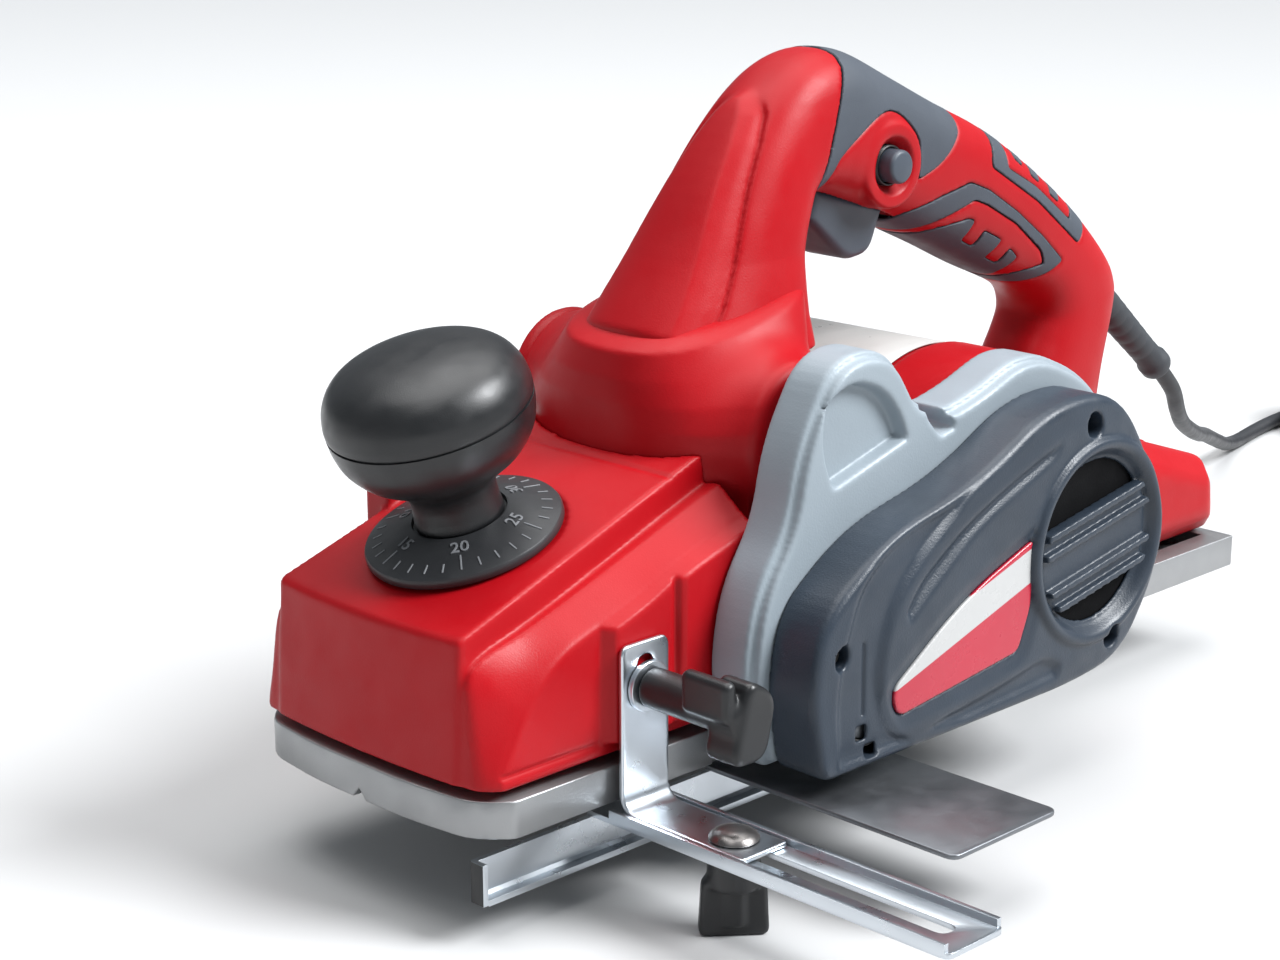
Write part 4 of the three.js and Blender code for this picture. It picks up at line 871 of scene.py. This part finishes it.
def make_cover():
    g = Field((84, -48.5, 1), (278.5, -23.2, 110.5), 0.8)
    x, y, z = g.x, g.y, g.z
    shape = poly(rounded(COVER_LINE, 8), x, z)
    rise = np.zeros_like(shape)
    for depth, soft, outline in COVER_FIELDS:
        rise = rise - depth * step_up(-poly(rounded(outline, 6), x, z), 0, soft)
    badge = poly(rounded(BADGE, 8), x, z)
    rise = rise - 1.2 * step_up(-badge, -6.5, -0.6) * (1 - step_up(-badge, -0.4, 0.2))
    rise = rise - 2.1 * step_up(-badge, -0.4, 0.2)
    radial = disc(GRILLE_X, GRILLE_Z, 0, x, z)
    lip = 1.9 * step_up(-radial, -LIP_R, -35.6) - 4.6 * step_up(-radial, -34.2, -29.0)
    rise = np.where(radial < LIP_R, lip, rise)
    rim = step_up(shape, -12, -1.5) * 0.9
    rise = np.maximum(rise - rim * (radial > LIP_R), -COVER_DEEPEST)
    face = (COVER_FACE_Y - rise) - y
    body = round_meet(meet(shape, y - COVER_BACK_Y), face * 0.93, 3.2)
    tubes = union(*[disc(sx, sz, 6.4, x, z) for sx, sz in COVER_SCREWS])
    body = carve(body, meet(shape + 2.8, COVER_HOLLOW_Y - y, -tubes))
    # grille: two openings, a middle panel and two pairs of bars that lean a little
    lean = math.radians(9.8)
    v = -(x - GRILLE_X) * math.sin(lean) + (z - GRILLE_Z) * math.cos(lean) + 2.3
    inside = radial - OPENING_R
    body = carve(body, meet(inside, y + 33))
    body = union(body, meet(inside - 1, np.abs(v) - 8, np.abs(y + 42.2) - 1.0))
    for centre in (-10.3, 10.3):
        bar = meet(inside - 1, np.abs(v - centre) - 4.4, np.abs(y + 42.4) - 1.2)
        ridges = meet(inside - 1, np.abs(np.abs(v - centre) - 3.3) - 1.25, np.abs(y + 43.9) - 2.3)
        body = union(body, bar, ridges)
    for sx, sz in COVER_SCREWS:
        body = carve(body, meet(disc(sx, sz, 4.4, x, z), y + 36.5))
    # a thin slit and two small windows near the drum's end
    slit = meet(np.abs(x - 112) - 0.55, np.abs(z - 34) - 12.5, y + 41.5)
    windows = union(meet(np.abs(x - 111.5) - 2.5, np.abs(z - 16) - 2.5),
                    meet(np.abs(x - 115.9) - 2.6, np.abs(z - 9.1) - 2.3))
    body = carve(body, slit, meet(windows, y + 39))
    sculpt("side_cover", g, body, "machine", COVER, ["belt_cover"])


def make_grille_shade():
    """A near-black disc behind the cover's bars: painted shade for the dark inside of the grille."""
    shade_profile = [(0, 0), (28.9, 0), (28.9, 0.25), (0, 0.25)]
    lathe("grille_shade", shade_profile, (GRILLE_X, -40.8, GRILLE_Z), NEAR, "machine", GRILLE_SHADE)


def make_badge():
    """A raised plate with a pale diagonal band across two red fields, and no lettering."""
    g = Field((121, -46.5, 14), (200.5, -41.5, 66), 0.5)
    shape = poly(rounded(BADGE, 8), g.x, g.z)
    body = round_meet(shape + 0.35, np.abs(g.y + 43.55) - 0.85, 0.4)
    slope, half_band = 0.30, 6.0
    band = np.abs(g.z - 27.5 - slope * (g.x - 127) - 5.5) - half_band
    sculpt("badge_plate", g, body, "machine", BADGE_PRINT, ["cover_badge"], {"band": band})


# ---------------------------------------------------------------- sole and shoe
def refined(node, body, finish, width=0.5, segments=2, angle=30):
    """A copy of a CAD node with its flat faces merged and its edges bevelled."""
    obj = add_to_scene(node + "_fine", nodes[node].data.copy())
    mesh = bmesh.new()
    mesh.from_mesh(obj.data)
    bmesh.ops.remove_doubles(mesh, verts=mesh.verts, dist=2e-5)
    bmesh.ops.dissolve_limit(mesh, angle_limit=math.radians(2), verts=mesh.verts, edges=mesh.edges)
    mesh.to_mesh(obj.data)
    mesh.free()
    obj.data.polygons.foreach_set("use_smooth", [True] * len(obj.data.polygons))
    bevel = obj.modifiers.new("bevel", "BEVEL")
    bevel.width = width * MM
    bevel.segments = segments
    bevel.limit_method = "ANGLE"
    bevel.angle_limit = math.radians(angle)
    bevel.harden_normals = True
    bevel.use_clamp_overlap = True
    return finish_piece(obj, body, finish, [node])


# ---------------------------------------------------------------- turned pieces
def lathe(name, profile, origin, axis, body, finish, replaced=(), steps=96, crisp=True):
    """A turned mesh from (radius, height) pairs along an axis; a pair on the axis closes an end."""
    along = Vector(axis).normalized()
    side = along.orthogonal().normalized()
    other = along.cross(side)
    angles = np.linspace(0, 2 * math.pi, steps, endpoint=False)
    origin = np.array(origin, float)
    points, faces, rows = [], [], []
    for r, h in profile:
        centre = origin + np.array(along) * h
        if r < 1e-6:
            rows.append([len(points)])
            points.append(centre)
            continue
        rows.append(list(range(len(points), len(points) + steps)))
        points.extend(centre + r * (math.cos(a) * np.array(side) + math.sin(a) * np.array(other))
                      for a in angles)
    for low, high in zip(rows[:-1], rows[1:]):
        for i in range(steps):
            j = (i + 1) % steps
            ring = [low[i % len(low)], low[j % len(low)], high[j % len(high)], high[i % len(high)]]
            face = list(dict.fromkeys(ring))
            if len(face) > 2:
                faces.append(face)
    obj = mesh_object(name, points, faces)
    if crisp:
        obj.data.set_sharp_from_angle(angle=math.radians(38))
    return finish_piece(obj, body, finish, replaced)


def make_knob():
    profile = spline([(14.5, 10), (14.2, 13), (14.2, 17.5), (15.6, 21.5), (20.2, 25.2), (26.4, 29.6),
                      (31.0, 35.6), (32.9, 41.5), (33.4, 46)], 5)
    profile = [(0, 7.9), (13.8, 7.9), (14.5, 8.6)] + [tuple(p) for p in profile]
    upper = spline([(33.45, 47.2), (33.4, 50), (32.4, 54.5), (29.6, 59.2), (25, 62.6), (17, 65.2),
                    (8, 66.4), (0.01, 66.6)], 6)
    profile += [(32.7, 46.2), (32.7, 46.8), (33.4, 47.0)] + [tuple(p) for p in upper[:-1]]
    profile += [(0, 66.6)]
    lathe("knob_head", profile, KNOB_AT, KNOB_AXIS, "knob", BLACK, ["depth_knob"], steps=128)


# Angle of the first tick, number of ticks, and the cone's (radius, height) at its rim and at its hub.
DIAL_START, DIAL_COUNT = math.radians(43), 30
DIAL_RIM, DIAL_HUB = (30.6, 4.4), (16.4, 8.9)


def dial_spot(angle, r):
    """A place on the dial's cone, with the tangent, the way in and the normal there."""
    along = Vector(KNOB_AXIS)
    east = Vector(NEAR)
    out = math.cos(angle) * east + math.sin(angle) * east.cross(along)
    (r0, h0), (r1, h1) = DIAL_RIM, DIAL_HUB
    slope = Vector((r1 - r0, h1 - h0)).normalized()
    inward = (out * slope.x + along * slope.y).normalized()
    tangent = along.cross(out).normalized()
    normal = tangent.cross(inward).normalized()
    if normal.dot(along) < 0:
        normal = -normal
    height = h0 + (r - r0) * (h1 - h0) / (r1 - r0)
    return Vector(KNOB_AT) + out * r + along * height, tangent, inward, normal


def make_dial():
    """The dial's disc, with ticks and numbers that stand on its cone and face out."""
    profile = [(0, 0.4), (31.2, 0.4), (32.1, 0.7), (32.5, 1.4), (32.5, 3.2), (32.1, 3.9), (30.9, 4.35),
               DIAL_HUB, (15.7, 8.9), (15.4, 8.2), (15.3, 7.6), (0, 7.6)]
    lathe("dial_disc", profile, KNOB_AT, KNOB_AXIS, "knob", DIAL, ["depth_dial"], steps=128)
    marks = bmesh.new()
    for i in range(DIAL_COUNT):
        size = 3.6 if i % 5 else 6.2
        spot, tangent, inward, normal = dial_spot(DIAL_START + 2 * math.pi * i / DIAL_COUNT, 29.6 - size / 2)
        box = axes(tangent * 0.55, inward * size, normal * 0.3)
        box.translation = spot + normal * 0.12
        bmesh.ops.create_cube(marks, size=1, matrix=box)
    for vert in marks.verts:
        vert.co = Vector(place(vert.co))
    bmesh.ops.bevel(marks, geom=list(marks.edges), offset=0.08 * MM, segments=1, affect="EDGES")
    mesh = bpy.data.meshes.new("dial_ticks")
    marks.to_mesh(mesh)
    marks.free()
    finish_piece(add_to_scene("dial_ticks", mesh), "knob", MARK)
    for i, word in enumerate(("5", "10", "15", "20", "25", "30")):
        spot, _, inward, normal = dial_spot(DIAL_START - 2 * math.pi * (i - 3) * 5 / DIAL_COUNT, 20.4)
        data = bpy.data.curves.new("dial_number_" + word, "FONT")
        data.body = word
        data.size = 6.2 * MM
        data.extrude = 0.15 * MM
        data.bevel_depth = 0.05 * MM
        data.resolution_u = 3
        data.align_x, data.align_y = "CENTER", "CENTER"
        number = add_to_scene("dial_number_" + word, data)
        turn = axes(inward.cross(normal), inward, normal)
        turn.translation = Vector(place(spot + normal * 0.1))
        number.matrix_world = turn
        finish_piece(number, "knob", MARK)


def make_strain_relief():
    start, end = np.array([357, MID_Y, 115.7]), np.array([416, MID_Y, 67.5])
    length = float(np.linalg.norm(end - start))
    profile = [(3.6, 20), (6.2, 8), (6.9, 10.5)]
    for i in range(7):
        h = 16 + i * 6.6
        r = 6.6 - 0.14 * i
        profile += [(r, h), (r, h + 4.0), (r - 0.45, h + 4.5), (r - 0.45, h + 5.8)]
    profile += [(5.7, 62.6), (5.8, length - 7), (6.7, length - 5.6), (6.7, length - 1.4), (6.2, length - 0.3),
                (4.4, length), (3.55, length), (3.55, length - 4)]
    lathe("cord_sleeve", profile, start, end - start, "machine", CORD_SLEEVE,
          ["strain_relief"], steps=48)


def make_lock_and_trigger():
    profile = [(0, 0), (3.9, 0), (3.9, 6), (5.9, 6.4), (6.0, 17.5)]
    profile += [(6.0 - 1.6 * (1 - math.cos(t)), 17.5 + 1.6 * math.sin(t)) for t in np.linspace(0.2, 1.57, 6)]
    profile += [(2.4, 19.35), (0, 19.45)]
    lathe("lock_cap", profile, (LOCK_X, MID_Y - 6, LOCK_Z), NEAR, "lock", SLATE_HARD,
          ["lock_button"], steps=64)
    ring = [(7.15, 0), (7.15, 16.2), (6.4, 16.2), (6.4, 0), (7.15, 0)]
    lathe("lock_ring", ring, (LOCK_X, MID_Y - 3, LOCK_Z), NEAR, "machine", BLACK,
          steps=64, crisp=False)
    g = Field((180, 44, 139), (229, 73, 174), 0.6)
    side = poly(rounded([(184.5, 160, 2), (205, 142.5, 5), (218, 144, 5), (223.5, 157, 3), (226, 160.5, 1),
                         (187, 171, 2)], 6), g.x, g.z)
    body = round_meet(side, g.m - 10.8, 3.2)
    facet = (g.z - (152.5 - 0.42 * (g.x - 200))) * 0.9
    body = np.maximum(body, -(facet + 14.5) + (g.m - 10.8) * 0.9 - 1.5)
    sculpt("trigger_lever", g, body, "trigger_lever", SLATE_HARD, ["trigger"])


# ---------------------------------------------------------------- edge guide
def make_bracket():
    g = Field((40.5, -58, -5.5), (64.5, -1, 54.5), 0.6)
    x, y, z = g.x, g.y, g.z
    # the sheet's middle surface: an upright, a bend and a lying leg
    bend, mid_y, mid_z, half_sheet = 7.0, -4.0, -2.7, 1.0
    corner_y, corner_z = mid_y - bend, mid_z + bend
    upright = np.where(z > corner_z, np.abs(y - mid_y), 1e3)
    leg = np.where(y < corner_y, np.abs(z - mid_z), 1e3)
    arc = np.abs(np.sqrt((y - corner_y) ** 2 + (z - corner_z) ** 2) - bend)
    arc = np.where((y >= corner_y) & (z <= corner_z), arc, 1e3)
    sheet = union(upright, leg, arc) - half_sheet
    ends = round_meet(round_meet(np.abs(x - GUIDE_X) - 10.25, z - 52.5, 3.2), -56 - y, 1.5)
    body = round_meet(sheet, ends, 0.5)
    slot = poly(rounded([(GUIDE_X - 3.4, 34.6, 3.3), (GUIDE_X + 3.4, 34.6, 3.3), (GUIDE_X + 3.4, 48, 3.3),
                         (GUIDE_X - 3.4, 48, 3.3)], 6), x, z)
    body = carve(body, meet(slot, -20 - y))
    body = carve(body, meet(np.abs(x - GUIDE_X) - 3.6, np.abs(y - BOLT_Y) - 3.6, z - 5))
    sculpt("bracket_plate", g, body, "bracket", ZINC, ["guide_bracket"])


def make_bolt_and_nut():
    """The carriage bolt's domed head and thread, and its wing nut."""
    dome = [(0, -1.4), (7.9, -1.4), (8.0, -1.1), (7.6, -0.4), (6.5, 0.6), (4.9, 1.4), (3.0, 1.85), (0, 2.0)]
    lathe("bolt_head", dome, (GUIDE_X, BOLT_Y, 0), (0, 0, 1), "bracket", BOLT, steps=48)
    thread = [(0, -27), (2.2, -27)]
    for i in range(24):
        h = -26.6 + i * 0.9
        thread += [(2.85, h), (2.4, h + 0.45)]
    thread += [(2.4, -4.5), (0, -4.5)]
    lathe("bolt_thread", thread, (GUIDE_X, BOLT_Y, 0), (0, 0, 1), "bracket", BOLT,
          ["carriage_bolt"], steps=32, crisp=False)
    g = Field((36, -60, -34.2), (69, -26, -5), 0.65)
    angle = math.radians(-40)
    u = (g.x - GUIDE_X) * math.cos(angle) + (g.y - BOLT_Y) * math.sin(angle)
    v = -(g.x - GUIDE_X) * math.sin(angle) + (g.y - BOLT_Y) * math.cos(angle)
    radial = disc(GUIDE_X, BOLT_Y, 0, g.x, g.y)
    hub = round_meet(radial - 8.2 - 0.03 * (-6 - g.z), np.abs(g.z + 11.6) - 5.4, 1.2)
    wing_line = rounded([(-11, -33, 2.5), (11, -33, 2.5), (10, -14, 3), (-10, -14, 3)], 5)
    wings = round_meet(poly(wing_line, u, g.z), np.abs(v) - 3.0, 1.4)
    body = blend(hub, wings, 1.6)
    core = round_meet(radial - 4.9, np.abs(g.z + 19) - 10.5, 1)
    body = blend(body, core, 1.0)
    body = carve(body, meet(radial - 3.1, -27.6 - g.z))
    sculpt("wing_grip", g, body, "nut", BLACK, ["wing_nut"])


def make_clamp():
    """The clamp screw: a round barrel with a flat grip across its end, and its washer."""
    g = Field((38, -53, 20), (67, 13.5, 56), 0.7)
    radial = disc(GUIDE_X, CLAMP_Z, 0, g.x, g.z)
    barrel = round_meet(radial - 6.5, meet(-49 - g.y, g.y + 7.6), 1.0)
    grip_line = rounded([(GUIDE_X - 8.4, 24.6, 5), (GUIDE_X + 6.4, 24, 6), (GUIDE_X + 11, 44, 6),
                         (GUIDE_X - 1.4, 52, 6)], 6)
    grip = round_meet(poly(grip_line, g.x, g.z), np.abs(g.y + 43.8) - 7, 2.2)
    fin_line = rounded([(GUIDE_X - 8.6, 38, 2), (GUIDE_X - 3.2, 38, 2), (GUIDE_X - 4.4, 51.6, 2.4),
                        (GUIDE_X - 9.0, 50.6, 2.4)], 5)
    fin = round_meet(poly(fin_line, g.x, g.z), np.abs(g.y + 38) - 10, 2.0)
    grip = carve(grip, disc(GUIDE_X + 14.5, 33, 6, g.x, g.z))
    shank = meet(radial - 2.7, np.abs(g.y - 2) - 10)
    body = union(blend(blend(barrel, grip, 2.0), fin, 2.0), shank)
    sculpt("clamp_handle", g, body, "clamp", BLACK, ["clamp_screw"])
    washer = [(3.2, 0.3), (8.0, 0.3), (8.2, 0.5), (8.2, 2.1), (8.0, 2.3), (3.2, 2.3), (3.2, 0.3)]
    lathe("clamp_ring", washer, (GUIDE_X, -5, CLAMP_Z), NEAR, "clamp", ZINC,
          ["clamp_washer"], steps=64)


# ---------------------------------------------------------------- plug and plate
PLUG_Y, PLUG_Z = 92, -3.8


def make_plug():
    """The mains plug with grip ridges and a ribbed neck, and its two pins."""
    g = Field((699.5, 76, -13), (764, 108, 5.5), 0.7)
    x, y, z = g.x, g.y, g.z
    from_axis = disc(PLUG_Y, PLUG_Z, 0, y, z)
    plan = poly(rounded([(739.8, 86.5, 3), (718.8, 78, 8), (702, 78, 3), (702, 106, 3), (718.8, 106, 8),
                         (739.8, 97.5, 3)], 6), x, y)
    level = np.abs(z - PLUG_Z)
    body = round_meet(plan, level - 7.5, 2.6)
    neck = from_axis - np.interp(x, [736, 760], [5.5, 4.3]).astype(np.float32)
    groove = 0.5 * (np.sin(x * 2.1) > 0.4)
    body = blend(body, meet(neck + groove * (x > 742), x - 759.8, 736 - x), 1.5)
    body = carve(body, meet(from_axis - 3.3, 757 - x))
    for ridge in range(4):
        body = carve(body, meet(np.abs(x - 722 - ridge * 3.2) - 0.55, 6.9 - level, np.abs(y - PLUG_Y) - 8))
    for side in (-6.5, 6.5):
        body = carve(body, meet(np.abs(y - PLUG_Y - side) - 3.5, level - 1.0, x - 706))
    plug = sculpt("mains_plug", g, body, "machine", CORD_SLEEVE, ["plug_body"])
    pins = [refined(f"plug_pin_{i}", "machine", BRASS, 0.3) for i in (1, 2)]
    return [plug, *pins]


def make_plate():
    """The blank rating plate on the motor housing."""
    radius, thick = MOTOR_R - 1.1, 0.5
    angles = np.radians(np.linspace(80.5, 115, 28))
    ys = np.linspace(26.6, 91.4, 3)
    points, faces = [], []
    for layer in (thick, 0):
        for a in angles:
            for y in ys:
                r = radius + layer - 0.016 * (y - 24)
                points.append((MOTOR_X + r * math.cos(a), y, MOTOR_Z + r * math.sin(a)))
    n, m = len(angles), len(ys)
    half = n * m
    for i in range(n - 1):
        for j in range(m - 1):
            a = i * m + j
            faces.append((a, a + m, a + m + 1, a + 1))
            faces.append((half + a, half + a + 1, half + a + m + 1, half + a + m))
    edge = [i * m for i in range(n)] + [(n - 1) * m + j for j in range(1, m)]
    edge += [i * m + m - 1 for i in range(n - 2, -1, -1)] + [j for j in range(m - 2, 0, -1)]
    for a, b in zip(edge, edge[1:] + edge[:1]):
        faces.append((b, a, half + a, half + b))
    plate = mesh_object("rating_plate_blank", points, faces)
    finish_piece(plate, "machine", LABEL, ["rating_plate"])


# ---------------------------------------------------------------- stage
def add_stage():
    mesh = bpy.data.meshes.new("floor")
    half = 6
    corners = [(-half, -half, 0), (half, -half, 0), (half, half, 0), (-half, half, 0)]
    mesh.from_pydata(corners, [], [(0, 1, 2, 3)])
    floor = add_to_scene("floor", mesh)
    pale = bpy.data.materials.new("floor_paper")
    pale.use_nodes = True
    shader = pale.node_tree.nodes["Principled BSDF"]
    shader.inputs["Base Color"].default_value = (0.52, 0.52, 0.52, 1)
    shader.inputs["Roughness"].default_value = 0.9
    shader.inputs["Specular IOR Level"].default_value = 0.1
    mesh.materials.append(pale)


def add_light(name, at, target, size, power):
    data = bpy.data.lights.new(name, "AREA")
    data.shape = "DISK"
    data.size = size
    data.energy = power
    light = add_to_scene(name, data)
    light.location = at
    light.rotation_euler = (Vector(target) - Vector(at)).to_track_quat("-Z", "Y").to_euler()


def add_lights():
    sun = bpy.data.lights.new("window_sun", "SUN")
    sun.energy = 5.6
    sun.angle = math.radians(28)
    sun.color = (0.96, 0.98, 1.0)
    window = add_to_scene("window_sun", sun)
    window.rotation_euler = Vector((0.42, -0.62, 0.72)).to_track_quat("Z", "Y").to_euler()
    add_light("overhead", (0.15, 0.35, 2.2), (0.05, 0.05, 0.1), 2.4, 52)
    add_light("knob_glint", (-0.9, -0.3, 1.6), (-0.1, 0, 0.12), 0.6, 3)
    world = bpy.data.worlds.new("studio")
    bpy.context.scene.world = world
    world.use_nodes = True
    background = world.node_tree.nodes["Background"]
    background.inputs["Color"].default_value = (0.86, 0.93, 1, 1)
    background.inputs["Strength"].default_value = 0.3
    bpy.context.scene.view_settings.view_transform = "Standard"


# ---------------------------------------------------------------- the CAD nodes that stay
# Node, body, slot, material and the width of its bevelled edges in mm.
KEPT = [
    ("front_shoe", "shoe", "sole_alloy", SOLE, 0.9), ("base_casting", "machine", "sole_alloy", SOLE, 0.7),
    ("guide_bar", "fence", "zinc_steel", ZINC, 0.5), ("fence_rail", "fence", "zinc_steel", ZINC, 0.5),
    ("guard_plate", "fence", "dark_steel", GUARD, 0.5), ("drum_pulley", "drum", "dark_steel", GUARD, 0.4),
    ("motor_pulley", "rotor", "dark_steel", GUARD, 0.4),
    ("drive_belt", "machine", "belt_rubber", BELT, 0.3),
    *((f"cover_screw_{i}", "machine", "dark_steel", BOLT, 0.3) for i in (1, 2, 3)),
    ("cutter_drum", "drum", "cast_alloy", CAST, 0.4),
    *((f"blade_{i}", "drum", "bright_steel", STEEL, 0.2) for i in (1, 2)),
    *((f"blade_clamp_{i}", "drum", "dark_steel", GUARD, 0.3) for i in (1, 2)),
]
# Length in mm of the rail's front end that is painted black as shade.
RAIL_SHADE_LENGTH = 2.0


def paint_front_end_shade(rail):
    """The rail's front end, which faces the front, is painted black: painted shade."""
    rail.data.materials.append(BLACK.mat)
    front = min(vert.co.x for vert in rail.data.vertices)
    for face in rail.data.polygons:
        if face.center.x < front + RAIL_SHADE_LENGTH * MM:
            face.material_index = 1


REPAINTED = {
    "drum_shaft": STEEL, "drum_bearing_near": STEEL, "drum_bearing_far": STEEL, "stator": LAMINATE,
    "armature": LAMINATE, "commutator": COPPER, "motor_shaft": STEEL, "cooling_fan": BLACK,
    "motor_bearing_near": STEEL, "motor_bearing_far": STEEL, "brush_holder_front": BRASS,
    "brush_holder_rear": BRASS, "switch_body": BLACK, "depth_spindle": STEEL,
}


def dress_nodes():
    for node, body, slot, finish, width in KEPT:
        piece = refined(node, body, finish, width)
        if node == "fence_rail":
            # paints shade black on the rail's front end
            paint_front_end_shade(piece)
    for node, finish in REPAINTED.items():
        obj = nodes[node]
        for material_slot in obj.material_slots:
            material_slot.material = finish.mat


cord, cord_length = add_cord()
tie = add_tie()
plug_pieces = make_plug()
add_stage()
add_lights()
make_front_housing()
make_turret()
make_rear_housing()
make_handle()
make_drive_casting()
make_cover()
make_grille_shade()
make_badge()
make_knob()
make_dial()
make_strain_relief()
make_lock_and_trigger()
make_bracket()
make_bolt_and_nut()
make_clamp()
make_plate()
dress_nodes()
